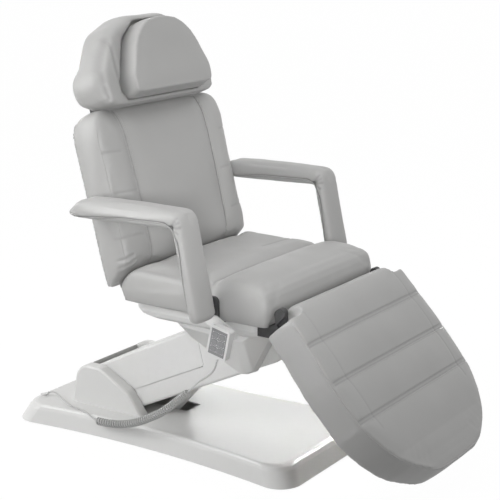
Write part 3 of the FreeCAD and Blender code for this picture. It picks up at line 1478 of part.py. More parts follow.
def curl_points(axis):
    """Points and directions of the wire, four to a turn, drawn to the axis at both ends."""
    length = axis.length()
    first = axis.FirstParameter
    steps = curl_count * 4
    ease = 6

    def wire_at(t):
        share = min(max(t, 0), steps)
        u = axis.parameterAtDistance(share / steps * length, first)
        centre = axis.value(u)
        ahead = axis.tangent(u)[0]
        side = ahead.cross(FreeCAD.Vector(0, 0, 1)).normalize()
        rise = side.cross(ahead).normalize()
        ramp = min(share, steps - share, ease) / ease
        radius = curl_radius * ramp * ramp * (3 - 2 * ramp)
        turn = math.pi / 2 * share
        return centre + side * (radius * math.cos(turn)) + rise * (radius * math.sin(turn))

    points = [wire_at(t) for t in range(steps + 1)]
    directions = []
    for t in range(steps + 1):
        low, high = max(t - 0.02, 0), min(t + 0.02, steps)
        directions.append((wire_at(high) - wire_at(low)).normalize())
    return points, directions


def pipe(edges):
    """Round tube of the cord along connected edges."""
    spine = Part.Wire(edges)
    start = edges[0].valueAt(edges[0].FirstParameter)
    ahead = edges[0].tangentAt(edges[0].FirstParameter)
    ring = Part.Wire([Part.Circle(start, ahead, cord_radius).toShape()])
    tube = spine.makePipeShell([ring], True, False)
    return tube


def make_curl():
    axis = curl_axis()
    points, directions = curl_points(axis)
    tail = 2 * cord_radius
    first = points[0] - directions[0] * tail
    last = points[-1] + directions[-1] * tail
    edges = [Part.LineSegment(first, points[0]).toShape()]
    for i in range(len(points) - 1):
        edges += biarc(points[i], directions[i], points[i + 1], directions[i + 1])
    edges.append(Part.LineSegment(points[-1], last).toShape())
    gap = least_gap(edges)
    run = sum(edge.Length for edge in edges)
    print("curl: wire", round(run), "mm, least gap to itself", round(gap, 2), "mm")
    tube = pipe(edges)
    print("curl volume over section times length", round(tube.Volume / (math.pi * cord_radius ** 2 * run), 4))
    return tube, first, directions[0], last, directions[-1]


def least_gap(edges):
    """Smallest clear distance between turns, measured on points along the wire."""
    places = []
    run = 0
    for edge in edges:
        count = 3
        for i in range(count):
            share = edge.FirstParameter + (edge.LastParameter - edge.FirstParameter) * i / count
            places.append((run + edge.Length * i / count, edge.valueAt(share)))
        run += edge.Length
    reach = math.pi * curl_radius
    least = 1e9
    for i, (here, p) in enumerate(places):
        for there, q in places[i + 1:i + 60]:
            if there - here > reach:
                least = min(least, (q - p).Length)
    return least - 2 * cord_radius


def lead(points, name):
    """Tube along straight runs with a tangent arc at each point, as large as the runs allow."""
    edges = []
    start = points[0]
    radii = []
    for i in range(1, len(points) - 1):
        before = points[i - 1] - points[i]
        after = points[i + 1] - points[i]
        short = min(before.Length, after.Length)
        before.normalize()
        after.normalize()
        half = math.acos(before.dot(after)) / 2
        reach = 0.45 * short
        radius = reach * math.tan(half)
        radii.append(round(radius))
        first = points[i] + before * reach
        last = points[i] + after * reach
        towards = (before + after).normalize()
        crest = points[i] + towards * (radius / math.sin(half) - radius)
        edges.append(Part.LineSegment(start, first).toShape())
        edges.append(Part.Arc(first, crest, last).toShape())
        start = last
    edges.append(Part.LineSegment(start, points[-1]).toShape())
    run = sum(edge.Length for edge in edges)
    tube = pipe(edges)
    share = tube.Volume / (math.pi * cord_radius ** 2 * run)
    print(name, "length", round(run), "radii", radii, "volume share", round(share, 4))
    return tube


def make_gland():
    """Domed gland on the rear of the floor cover, leaning towards the cord."""
    tip = at(gland_x, gland_tip_f, gland_tip_z)
    root = at(gland_x, gland_f, base_top_z)
    lean = (tip - root).normalize()
    collar = Part.makeCylinder(gland_radius + 4, 3, at(gland_x, gland_f, base_top_z))
    neck = Part.makeCone(gland_radius, cord_radius + 1, (tip - root).Length + 4, root - lean * 4, lean)
    floor = box(gland_x - 30, gland_x + 30, gland_f - 30, gland_f + 30, base_top_z - 30, base_top_z)
    return joined([collar, neck]).cut(floor)


def make_cord():
    curl, first, first_ahead, last, last_ahead = make_curl()
    x = (handset_x + handset_face) / 2
    exit_point = on_handset(x, 0, 0)
    straight = on_handset(x, -14, 0)
    join = first - first_ahead * 16
    upper = [exit_point, straight] + [at(*p) for p in upper_lead_way] + [join, first]
    join = last + last_ahead * 14
    tip = at(gland_x, gland_tip_f, gland_tip_z)
    lean = (tip - at(gland_x, gland_f, base_top_z)).normalize()
    lower = [last, join] + [at(*p) for p in lower_lead_way] + [tip + lean * 24, tip]
    return curl, lead(upper, "upper lead"), lead(lower, "lower lead")


# Assembly

nodes["base_cover"] = make_base_cover()
nodes["base_frame"] = make_base_frame()
nodes["levelling_feet"] = make_feet()
nodes["rear_housing"] = make_housing()
nodes["lift_pins"] = make_lift_pins()
nodes["control_box"] = make_control_box()
nodes["mains_inlet"] = make_inlet()
nodes["cord_gland"] = make_gland()
nodes["lift_arm"] = make_lift_arm()
nodes["arm_bushes"] = make_bushes()
nodes["arm_cover_upper"], nodes["arm_cover_lower"] = make_arm_covers()
nodes["parallel_link"] = make_link()
nodes["lift_motor"] = make_lift_motor()
nodes["lift_rod"] = make_lift_rod()
nodes["carriage"] = make_carriage()
nodes["carriage_pins"] = make_carriage_pins()
nodes["carriage_cover_left"] = make_skirt()
nodes["carriage_cover_right"] = mirrored(make_skirt())
nodes["seat_pan"] = make_pan()
nodes["seat_frame"] = make_seat_frame()
nodes["seat_board"] = seat_board_form(0)
nodes["seat_cushion"] = make_seat_cushion()
nodes["hinge_pins"] = make_hinge_pins()
nodes["armrest_bolts"] = make_armrest_bolts()
nodes["back_motor"] = make_back_motor()
nodes["back_rod"] = rod_with_eye(side_motor_x, back_rod_end, back_motor_f + 60, back_rod_z)
nodes["leg_motor"] = make_leg_motor()
nodes["leg_rod"] = rod_with_eye(-side_motor_x, leg_rod_end, leg_motor_f + side_motor_length - 50, leg_rod_z)
nodes["back_frame"] = make_back_frame()
nodes["back_board"] = back_board_form(0)
nodes["back_cushion"] = make_back_cushion()
nodes["lock_knob"] = make_knob()
nodes["head_post"] = make_head_post()
nodes["head_pins"] = make_head_pins()
nodes["head_board"] = make_head_board()
nodes["head_cushion"] = make_head_cushion()
nodes["head_pillow"] = make_pillow()
nodes["leg_frame"] = make_leg_frame()
nodes["leg_board"] = leg_board_form(0)
nodes["leg_cushion"] = make_leg_cushion()
nodes["armrest_core_left"] = armrest_core()
nodes["armrest_pad_left"] = armrest_pad()
nodes["armrest_core_right"] = mirrored(nodes["armrest_core_left"])
nodes["armrest_pad_right"] = mirrored(nodes["armrest_pad_left"])
nodes["handset_front"], nodes["handset_rear"] = make_handset()
nodes["handset_relief"] = make_relief()
nodes["handset_clip"] = make_clip()
for row, column, up, across in button_places():
    nodes["button_%d_%d" % (row + 1, column + 1)] = make_button(up, across)
cord_names = ("cord_curl", "cord_upper_lead", "cord_lower_lead")
for name, shape in zip(cord_names, make_cord()):
    nodes[name] = shape

# The origin goes under the middle of the chair's length, measured without the cord
for name in nodes:
    if isinstance(nodes[name], list):
        nodes[name] = Part.makeCompound(nodes[name])
lengths = [nodes[name].optimalBoundingBox(False) for name in nodes if name not in cord_names]
shift = -(min(b.YMin for b in lengths) + max(b.YMax for b in lengths)) / 2
print("moved forward axis by", round(shift, 3))

os.makedirs("parts", exist_ok=True)
for name, shape in nodes.items():
    shape.translate(FreeCAD.Vector(0, shift, 0))
    shape.exportStep(os.path.join("parts", name + ".step"))
    print(name, len(shape.Solids), "solids", round(shape.Volume / 1000, 1), "cm3", shape.isValid())
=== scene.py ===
import json
import math

import bmesh
import bpy
import numpy as np
from bpy.props import FloatProperty, FloatVectorProperty, IntProperty, PointerProperty
from bpy.types import Operator, Panel, PropertyGroup
from mathutils import Matrix, Vector, noise
from mathutils.bvhtree import BVHTree


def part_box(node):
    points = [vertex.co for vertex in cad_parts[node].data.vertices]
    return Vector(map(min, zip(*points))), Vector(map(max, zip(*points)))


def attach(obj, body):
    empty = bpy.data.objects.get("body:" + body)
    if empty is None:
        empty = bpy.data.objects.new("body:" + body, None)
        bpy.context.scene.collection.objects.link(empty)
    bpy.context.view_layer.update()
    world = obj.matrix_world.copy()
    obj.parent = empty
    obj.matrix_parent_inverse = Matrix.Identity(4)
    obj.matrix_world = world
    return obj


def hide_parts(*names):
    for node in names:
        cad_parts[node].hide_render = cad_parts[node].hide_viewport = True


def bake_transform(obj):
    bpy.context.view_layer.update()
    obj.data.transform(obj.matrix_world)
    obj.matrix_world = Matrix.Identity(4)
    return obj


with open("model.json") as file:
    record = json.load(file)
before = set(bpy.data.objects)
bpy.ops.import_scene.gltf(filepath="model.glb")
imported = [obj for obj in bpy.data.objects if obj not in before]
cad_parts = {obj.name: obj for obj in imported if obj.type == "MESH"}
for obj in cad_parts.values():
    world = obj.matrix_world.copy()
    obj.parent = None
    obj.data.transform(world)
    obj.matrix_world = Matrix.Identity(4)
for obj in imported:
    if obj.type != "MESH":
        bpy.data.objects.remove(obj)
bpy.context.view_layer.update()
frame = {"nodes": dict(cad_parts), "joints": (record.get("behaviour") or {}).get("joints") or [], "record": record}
solids = frame["nodes"]

bl_info = {
    "name": "Electric treatment chair",
    "version": (1, 0, 0),
    "blender": (4, 5, 0),
    "location": "View3D > Sidebar > Chair",
    "description": "Upholstery, mouldings, handset cord and studio of an electric treatment chair",
    "category": "Object",
}

SLOT_OF = {row["node"]: row["material_slot"] for row in frame["record"]["subparts"]}
JOINTS = {row["name"]: row for row in frame["joints"]}

# Side view of the chair: forward places count from the seat's reference line.
LIFT_FOOT_FORWARD = -0.262
FORWARD_ZERO = JOINTS["lift"]["pos_m"][1] + LIFT_FOOT_FORWARD


def at(across, forward, up):
    """World point of a place given across, forward and up in millimetres."""
    return Vector((across / 1000, FORWARD_ZERO - forward / 1000, up / 1000))


class PadFrame:
    """Face plane of one pad: across is the world's X, with an along and an out direction."""

    def __init__(self, origin, along):
        self.origin = np.array(origin)
        self.along = np.array(along, float)
        self.out = np.array((0.0, -along[2], along[1]))
        if self.out[1] > 0.5 or self.out[2] < 0:
            self.out = -self.out

    def local(self, points):
        """Across, along and out places of world points."""
        moved = points - self.origin
        return moved[:, 0], moved @ self.along, moved @ self.out

    def world(self, across, along, out):
        """World point of a place on the pad."""
        return Vector(self.origin + self.along * along + self.out * out + np.array((across, 0, 0)))


BACK_DIRECTION = Vector(JOINTS["head_slide"]["axis"]).normalized()
BACK = PadFrame(at(0, -9, 560), BACK_DIRECTION)
LEG_SLOPE = math.radians(48.6)
LEG = PadFrame(at(0, 590, 449), (0, -math.cos(LEG_SLOPE), -math.sin(LEG_SLOPE)))
SEAT = PadFrame(at(0, 0, 556), (0, -1, 0))
HEAD_TURN = Matrix.Rotation(math.radians(-2), 4, "X")
HEAD_HINGE = Vector(JOINTS["head_tilt"]["pos_m"])
HEAD = PadFrame(HEAD_HINGE + HEAD_TURN @ (at(0, -9, 560) - HEAD_HINGE), HEAD_TURN @ BACK_DIRECTION)


# Sizes and colours that a user would change

class ChairPadding(PropertyGroup):
    """Sizes of the stuffed pads."""
    mesh_step: FloatProperty(
        name="Mesh step", description="Spacing of the pads' first mesh",
        default=0.006, unit="LENGTH")
    pressure: FloatProperty(
        name="Pressure", description="Pressure of the stuffing", default=4.0)
    frames: IntProperty(
        name="Frames", description="Steps over which a pad swells", default=16)
    stitch_pitch: FloatProperty(
        name="Stitch pitch", description="Distance from stitch to stitch",
        default=0.0062, unit="LENGTH")
    stitch_width: FloatProperty(
        name="Stitch width", description="Thickness of the sewing thread",
        default=0.0011, unit="LENGTH")


class ChairColours(PropertyGroup):
    """Colours of the finishes."""
    hide: FloatVectorProperty(
        name="Upholstery", description="Synthetic leather", subtype="COLOR",
        default=(0.35, 0.348, 0.343))
    moulding: FloatVectorProperty(
        name="Mouldings", description="Off-white plastic covers", subtype="COLOR",
        default=(0.62, 0.62, 0.612))
    painted: FloatVectorProperty(
        name="Painted steel", description="Light powder coat", subtype="COLOR",
        default=(0.52, 0.52, 0.51))
    handset: FloatVectorProperty(
        name="Handset", description="Light grey handset shell", subtype="COLOR",
        default=(0.58, 0.58, 0.575))
    keypad: FloatVectorProperty(
        name="Keypad", description="Dark grey keypad foil", subtype="COLOR",
        default=(0.205, 0.205, 0.21))
    cord: FloatVectorProperty(
        name="Cord", description="Grey cord sheath", subtype="COLOR",
        default=(0.46, 0.46, 0.455))


class ChairCord(PropertyGroup):
    """Sizes of the curly handset cord."""
    curls: IntProperty(
        name="Curls", description="Turns of the curly stretch", default=44)
    curl_radius: FloatProperty(
        name="Curl radius", description="From the curl's middle line to the wire's middle",
        default=0.0094, unit="LENGTH")
    radius: FloatProperty(
        name="Cord radius", description="Half the thickness of the sheath",
        default=0.0024, unit="LENGTH")


class ChairStudio(PropertyGroup):
    """Camera and light."""
    lens: FloatProperty(
        name="Lens", description="Focal length on a 36 mm sensor", default=98.05)
    side_power: FloatProperty(
        name="Side light", description="Large soft light behind the near side",
        default=46.0, unit="POWER")
    top_power: FloatProperty(
        name="Top light", description="Soft light above the chair",
        default=39.0, unit="POWER")
    fill_power: FloatProperty(
        name="Fill light", description="Narrow soft light on the pads from the near side",
        default=1.9, unit="POWER")
    base_power: FloatProperty(
        name="Base light", description="Low soft light over the base from the far side",
        default=1.15, unit="POWER")
    surround: FloatProperty(
        name="Surround", description="Even light from all round", default=0.58)


# Mesh helpers

def show(name, mesh):
    """New object for a mesh, linked to the scene."""
    piece = bpy.data.objects.new(name, mesh)
    bpy.context.collection.objects.link(piece)
    return piece


def mesh_of(work, name, smooth=True):
    """New mesh from a bmesh, which is freed, with its faces turned outward."""
    bmesh.ops.recalc_face_normals(work, faces=work.faces)
    mesh = bpy.data.meshes.new(name)
    work.to_mesh(mesh)
    work.free()
    mesh.polygons.foreach_set("use_smooth", [smooth] * len(mesh.polygons))
    return mesh


def mesh_from(name, vertices, faces):
    """New mesh from plain lists, with its faces turned outward."""
    work = bmesh.new()
    corners = [work.verts.new(v) for v in vertices]
    for face in faces:
        work.faces.new([corners[k] for k in face])
    return mesh_of(work, name)


def bake(piece):
    """Applies all modifiers of a piece to its mesh."""
    graph = bpy.context.evaluated_depsgraph_get()
    shaped = bpy.data.meshes.new_from_object(piece.evaluated_get(graph))
    piece.modifiers.clear()
    old = piece.data
    piece.data = shaped
    bpy.data.meshes.remove(old)


def points_of(mesh, label="co"):
    """Vertex places of a mesh as an array, or another vector of each vertex."""
    values = np.empty(len(mesh.vertices) * 3)
    mesh.vertices.foreach_get(label, values)
    return values.reshape(-1, 3)


def normals_of(mesh):
    """Vertex normals of a mesh as an array."""
    return points_of(mesh, "normal")


def move_points(mesh, places):
    """Sets the vertex places of a mesh."""
    mesh.vertices.foreach_set("co", places.ravel())
    mesh.update()


def shift(pad, amount, direction):
    """Moves each vertex of a pad by its amount, in one direction or each in its own."""
    move_points(pad.data, points_of(pad.data) + amount[:, None] * direction)


def relax(mesh, rounds, share=0.5):
    """Evens a mesh out by drawing each vertex towards its neighbours."""
    ends = np.empty(len(mesh.edges) * 2, int)
    mesh.edges.foreach_get("vertices", ends)
    first, second = ends.reshape(-1, 2).T
    places = points_of(mesh)
    count = np.bincount(np.concatenate((first, second)), minlength=len(places))[:, None]
    for _ in range(rounds):
        total = np.zeros_like(places)
        for axis in range(3):
            total[:, axis] = np.bincount(first, places[second, axis], len(places))
            total[:, axis] += np.bincount(second, places[first, axis], len(places))
        places += (total / count - places) * share
    move_points(mesh, places)


def round_outline(mesh, plane, spread):
    """Draws the outline of a pad round above its straight lower edge, over so many degrees."""
    across, along, out = plane.local(points_of(mesh))
    foot = along.min() + 0.25 * np.ptp(along)
    angle = np.degrees(np.arctan2(along - foot, across)) % 360
    radius = np.hypot(across, along - foot)
    turns = np.arange(360)
    reach = np.array([radius[np.abs((angle - turn + 180) % 360 - 180) < 2.5].max() for turn in turns])
    apart = np.abs((turns[:, None] - turns + 180) % 360 - 180)
    share = np.exp(-(apart / spread) ** 2)
    even = share @ reach / share.sum(axis=1)
    upper = smooth_step(12, 40, turns) * smooth_step(12, 40, 180 - turns)
    grow = 1 + (even / reach - 1) * upper
    grow = np.interp(angle, np.arange(361), np.append(grow, grow[0]))
    places = [plane.world(x * g, foot + (a - foot) * g, o) for x, a, o, g in zip(across, along, out, grow)]
    move_points(mesh, np.array(places))


def smooth_step(low, high, value):
    """Rises softly from 0 at low to 1 at high."""
    share = np.clip((value - low) / (high - low), 0, 1)
    return share * share * (3 - 2 * share)


def line_distance(line, across, along):
    """Distance of places on a pad's face from a line of points."""
    nearest = np.full(len(across), 9.0)
    for (x0, a0), (x1, a1) in zip(line, line[1:]):
        run_x, run_a = x1 - x0, a1 - a0
        share = ((across - x0) * run_x + (along - a0) * run_a) / (run_x ** 2 + run_a ** 2)
        share = np.clip(share, 0, 1)
        gap = np.hypot(across - x0 - share * run_x, along - a0 - share * run_a)
        nearest = np.minimum(nearest, gap)
    return nearest


# Pads

ABOVE_FACE = 0.15
SEARCH_REACH = 0.6
PATH_PITCH = 0.004


def pad_from_solids(name, nodes, step):
    """Closed even mesh round the solids of a pad."""
    work = bmesh.new()
    for node in nodes:
        work.from_mesh(solids[node].data)
    bmesh.ops.remove_doubles(work, verts=work.verts, dist=1e-5)
    mesh = bpy.data.meshes.new(name)
    work.to_mesh(mesh)
    work.free()
    pad = show(name, mesh)
    even = pad.modifiers.new("Even mesh", "REMESH")
    even.mode = "VOXEL"
    even.voxel_size = step
    bake(pad)
    relax(pad.data, 3)
    return pad


def swell(pad, held, most):
    """Lets the stuffing press a pad out from the vertices that are held, up to a limit."""
    padding = bpy.context.scene.chair_padding
    start = points_of(pad.data)
    group = pad.vertex_groups.new(name="held")
    group.add(np.flatnonzero(held).tolist(), 1.0, "REPLACE")
    stuffing = pad.modifiers.new("Stuffing", "CLOTH")
    cloth = stuffing.settings
    cloth.quality = 4
    cloth.vertex_group_mass = "held"
    cloth.use_pressure = True
    cloth.uniform_pressure_force = padding.pressure
    cloth.effector_weights.gravity = 0
    stuffing.collision_settings.use_collision = False
    stuffing.point_cache.frame_start = 1
    stuffing.point_cache.frame_end = padding.frames
    for number in range(1, padding.frames + 1):
        bpy.context.scene.frame_set(number)
    graph = bpy.context.evaluated_depsgraph_get()
    move = points_of(pad.evaluated_get(graph).data) - start
    pad.modifiers.clear()
    pad.vertex_groups.clear()
    bpy.context.scene.frame_set(1)
    reach = np.maximum(np.linalg.norm(move, axis=1), 1e-9)
    move *= np.minimum(1, most / reach)[:, None]
    move_points(pad.data, start + move)


def read_pad(pad, plane):
    """Across, along and out places of a pad's vertices, their normals and how far they face outward."""
    normals = normals_of(pad.data)
    return *plane.local(points_of(pad.data)), normals, normals @ plane.out


def held_by_board(pad, plane, depth, seams, step):
    """Vertices that stay put in swelling: the underside, all below a depth and the sewn lines."""
    across, along, out, _, facing = read_pad(pad, plane)
    sewn = np.min([line_distance(line, across, along) for line in seams], axis=0)
    return (facing < -0.3) | (out < depth) | ((sewn < 0.6 * step) & (facing > 0.3))


def swell_limits(normals, side, face):
    """How far each vertex of a pad may swell, on its sides and elsewhere."""
    return np.where(np.abs(normals[:, 0]) > 0.55, side, face)


def refine(pad):
    """One subdivision, applied."""
    finer = pad.modifiers.new("Finer", "SUBSURF")
    finer.levels = 1
    finer.render_levels = 1
    bake(pad)


def press(pad, dent, shade=1.0):
    """Moves a pad's vertices inward by the dent, and keeps where it is deep in the crease attribute as painted
    shade for the leather's colour.
    """
    mesh = pad.data
    shift(pad, -dent, normals_of(mesh))
    painted_shade_layer = mesh.attributes.get("crease") or mesh.attributes.new("crease", "FLOAT", "POINT")
    kept = np.empty(len(mesh.vertices))
    painted_shade_layer.data.foreach_get("value", kept)
    depth = shade * np.maximum(dent, 0) / max(dent.max(), 1e-6)
    painted_shade_layer.data.foreach_set("value", np.clip(kept + depth, 0, 1))


def soft_unevenness(pad, height, wave):
    """Low hollows and swellings of stuffed leather."""
    drift = Vector((0.31, 0.17, 0.53))
    swing = [noise.noise(Vector(p) / wave + drift) for p in points_of(pad.data)]
    shift(pad, np.array(swing) * height, normals_of(pad.data))


def seam_dent(pad, plane, lines, width, depth, facing=0.35):
    """Depth of the sewn lines on the side of a pad that faces its out direction."""
    across, along, _ = plane.local(points_of(pad.data))
    ahead = smooth_step(facing - 0.15, facing + 0.15, normals_of(pad.data) @ plane.out)
    dent = np.zeros(len(across))
    for line in lines:
        dent = np.maximum(dent, np.exp(-(line_distance(line, across, along) / width) ** 2))
    return dent * ahead * depth


def fold_dent(pad, plane, line, width, depth):
    """Depth of a fold along a line on a pad's face, with a low swelling beside it."""
    across, along, _ = plane.local(points_of(pad.data))
    nearest = line_distance(line, across, along)
    dent = np.exp(-(nearest / width) ** 2) - 0.45 * np.exp(-((nearest - 2 * width) / width) ** 2)
    return dent * smooth_step(-0.1, 0.25, normals_of(pad.data) @ plane.out) * depth


def along_line(line, pitch):
    """Evenly spaced places on a line of points, with the line's direction at each."""
    places = []
    for start, end in zip(line, line[1:]):
        start, end = Vector(start), Vector(end)
        count = max(1, round((end - start).length / pitch))
        heading = (end - start).normalized()
        places += [(start.lerp(end, (k + 0.5) / count), heading) for k in range(count)]
    return places


def stitch_shape(work, middle, heading, normal, length, width):
    """One stitch: a short rounded length of thread that dips into the leather at both ends."""
    side = heading.cross(normal).normalized()
    rings = []
    for place, size, lift in ((-0.5, 0.5, -0.5), (-0.25, 1, 0.25), (0.25, 1, 0.25), (0.5, 0.5, -0.5)):
        centre = middle + heading * (place * length) + normal * (lift * width)
        ring = []
        for corner in range(5):
            turn = math.tau * corner / 5
            spread = side * math.cos(turn) + normal * math.sin(turn)
            ring.append(work.verts.new(centre + spread * (size * width / 2)))
        rings.append(ring)
    for lower, upper in zip(rings, rings[1:]):
        for corner in range(5):
            after = (corner + 1) % 5
            work.faces.new((lower[corner], lower[after], upper[after], upper[corner]))
    work.faces.new(rings[0][::-1])
    work.faces.new(rings[-1])


def stitch_rows(name, pad, body, plane, lines, offsets):
    """Rows of stitches on a pad beside its sewn lines."""
    padding = bpy.context.scene.chair_padding
    skin = skin_of(pad)
    out = Vector(plane.out)
    work = bmesh.new()
    for line in lines:
        for place, heading in along_line(line, padding.stitch_pitch):
            beside = Vector((-heading[1], heading[0]))
            for offset in offsets:
                spot = place + beside * offset
                found = skin.ray_cast(plane.world(spot[0], spot[1], ABOVE_FACE), -out, SEARCH_REACH)
                if found[0] is None or found[1].dot(out) < 0.3:
                    continue
                run = Vector((heading[0], 0, 0)) + Vector(plane.along) * heading[1]
                run = (run - found[1] * run.dot(found[1])).normalized()
                stitch_shape(work, found[0], run, found[1],
                             padding.stitch_pitch * 0.7, padding.stitch_width)
    rows = show(name, mesh_of(work, name))
    rows.data.materials.append(thread_finish())
    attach(rows, body)


def skin_of(pad):
    """Search tree of a pad's surface."""
    return BVHTree.FromPolygons(
        [v.co.copy() for v in pad.data.vertices], [tuple(p.vertices) for p in pad.data.polygons])


def first_meetings(skin, lines):
    """Points where straight lines, each a start and a direction, first meet a surface."""
    spots = [skin.ray_cast(start, way, SEARCH_REACH)[0] for start, way in lines]
    return [spot for spot in spots if spot]


def face_path(skin, plane, line):
    """Points on a pad's face over a line of across and along places."""
    inward = -Vector(plane.out)
    places = [place for place, _ in along_line(line, PATH_PITCH)]
    return first_meetings(skin, [(plane.world(x, a, ABOVE_FACE), inward) for x, a in places])


def side_path(skin, plane, hand, out, start, end):
    """Points on one side of a pad at one depth, from a start to an end along it."""
    inward = Vector((-hand, 0, 0))
    places = np.linspace(start, end, round(abs(end - start) / PATH_PITCH))
    return first_meetings(skin, [(plane.world(hand * SEARCH_REACH, a, out), inward) for a in places])


def round_path(skin, plane, centre, out, start, end, count):
    """Points round the edge of a pad at one depth, seen from a centre on its middle line."""
    middle = plane.world(0, centre, out)
    ways = [Vector((math.sin(turn), 0, 0)) + Vector(plane.along) * math.cos(turn)
            for turn in np.linspace(start, end, count)]
    return first_meetings(skin, [(middle, way) for way in ways])


def even_out(path, rounds=4):
    """Path with its small jogs drawn straight."""
    for _ in range(rounds):
        inner = [(a + b * 2 + c) / 4 for a, b, c in zip(path, path[1:], path[2:])]
        path = [path[0]] + inner + [path[-1]]
    return path


def beads(name, body, paths, radius):
    """Thin rolls of leather along seams."""
    work = bmesh.new()
    for path in paths:
        roll = tube_mesh(name, even_out(path), radius, 6)
        work.from_mesh(roll)
        bpy.data.meshes.remove(roll)
    rolls = show(name, mesh_of(work, name))
    rolls.data.materials.append(hide_finish())
    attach(rolls, body)


def square_edge(pad, facing, middle, spread, reach):
    """Presses the rounded edge of a pad's face outward so that it turns more sharply."""
    shift(pad, np.exp(-((facing - middle) / spread) ** 2) * reach, normals_of(pad.data))


def bare_board(pad, plane, board, border):
    """Draws a pad's underside into its board, up to a border of leather turned over the board's edge."""
    board_across, board_along, board_out = plane.local(points_of(solids[board].data))
    across, along, out = plane.local(points_of(pad.data))
    beneath = (normals_of(pad.data) @ plane.out < -0.5) & (np.abs(out - board_out.min()) < 0.006)
    inside = np.minimum(along - board_along.min(), board_along.max() - along)
    inside = np.minimum(inside, np.abs(board_across).max() - np.abs(across))
    proud, sink, blur = 0.001, 0.006, 0.008
    level = board_out.min() - proud + sink * smooth_step(border - blur, border + blur, inside)
    shift(pad, np.where(beneath, level - out, 0), plane.out)


def finish_pad(pad, body, nodes):
    """Leather, body and hidden solids of a finished pad."""
    pad.data.polygons.foreach_set("use_smooth", [True] * len(pad.data.polygons))
    pad.data.materials.clear()
    pad.data.materials.append(hide_finish())
    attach(pad, body)
    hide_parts(*nodes)


# Materials

def node_group(name, inputs, outputs):
    """New shader node group with named sockets."""
    group = bpy.data.node_groups.new(name, "ShaderNodeTree")
    for label, value in inputs:
        socket = group.interface.new_socket(label, in_out="INPUT", socket_type="NodeSocketFloat")
        socket.default_value = value
    for label in outputs:
        group.interface.new_socket(label, in_out="OUTPUT", socket_type="NodeSocketFloat")
    return group, group.nodes.new("NodeGroupInput"), group.nodes.new("NodeGroupOutput")


def add_node(tree, kind, settings=(), **values):
    """New node with its settings and socket values."""
    node = tree.nodes.new(kind)
    for label, value in dict(settings).items():
        setattr(node, label, value)
    for label, value in values.items():
        node.inputs[label.replace("_", " ").title()].default_value = value
    return node


def math_node(tree, operation, first, second):
    """Math node of two inputs, each a socket or a number."""
    node = tree.nodes.new("ShaderNodeMath")
    node.operation = operation
    for socket, value in zip(node.inputs, (first, second)):
        if isinstance(value, (int, float)):
            socket.default_value = value
        else:
            tree.links.new(value, socket)
    return node.outputs[0]


def mix_colours(tree, factor, first, second):
    """Colour between a first one, a socket or plain, and a plain second one."""
    mix = tree.nodes.new("ShaderNodeMix")
    mix.data_type = "RGBA"
    tree.links.new(factor, mix.inputs["Factor"])
    if isinstance(first, bpy.types.NodeSocket):
        tree.links.new(first, mix.inputs["A"])
    else:
        mix.inputs["A"].default_value = (*first, 1)
    mix.inputs["B"].default_value = (*second, 1)
    return mix.outputs["Result"]


def raise_grain(tree, height, strength, distance):
    """Bump of a height on the material's own shader."""
    relief = add_node(tree, "ShaderNodeBump", strength=strength, distance=distance)
    tree.links.new(height, relief.inputs["Height"])
    tree.links.new(relief.outputs["Normal"], tree.nodes["Principled BSDF"].inputs["Normal"])


def new_finish(name):
    """New material with its node tree and shader."""
    finish = bpy.data.materials.new(name)
    finish.use_nodes = True
    return finish, finish.node_tree, finish.node_tree.nodes["Principled BSDF"]


def hide_grain_group():
    """Pebbled grain of synthetic leather, with a slow change of tone."""
    found = bpy.data.node_groups.get("Hide grain")
    if found:
        return found
    group, entry, leave = node_group("Hide grain", (("Scale", 520.0),), ("Height", "Tone", "Polish"))
    link = group.links.new
    place = group.nodes.new("ShaderNodeTexCoord")
    pebble = add_node(group, "ShaderNodeTexVoronoi", {"feature": "SMOOTH_F1"}, randomness=0.9)
    wander = add_node(group, "ShaderNodeTexNoise", scale=9.0, detail=3.0)
    slow = add_node(group, "ShaderNodeTexNoise", scale=5.0, detail=4.0, roughness=0.6)
    for texture in (pebble, wander, slow):
        link(place.outputs["Object"], texture.inputs["Vector"])
    link(entry.outputs["Scale"], pebble.inputs["Scale"])
    height = math_node(group, "MULTIPLY", pebble.outputs["Distance"], wander.outputs["Fac"])
    link(height, leave.inputs["Height"])
    link(slow.outputs["Fac"], leave.inputs["Tone"])
    link(math_node(group, "MULTIPLY", wander.outputs["Fac"], 0.9), leave.inputs["Polish"])
    return group


def moulded_skin_group():
    """Fine spark-eroded texture of a moulding, with a slow change of tone and faint rubs."""
    found = bpy.data.node_groups.get("Moulded skin")
    if found:
        return found
    group, entry, leave = node_group("Moulded skin", (("Scale", 700.0),), ("Height", "Tone", "Polish"))
    link = group.links.new
    place = group.nodes.new("ShaderNodeTexCoord")
    spark = add_node(group, "ShaderNodeTexNoise", detail=2.0, roughness=0.5)
    slow = add_node(group, "ShaderNodeTexNoise", scale=3.5, detail=5.0, roughness=0.62)
    rubs = add_node(group, "ShaderNodeTexNoise", scale=14.0, detail=6.0, roughness=0.7, distortion=1.4)
    for texture in (spark, slow, rubs):
        link(place.outputs["Object"], texture.inputs["Vector"])
    link(entry.outputs["Scale"], spark.inputs["Scale"])
    link(spark.outputs["Fac"], leave.inputs["Height"])
    link(slow.outputs["Fac"], leave.inputs["Tone"])
    link(rubs.outputs["Fac"], leave.inputs["Polish"])
    return group


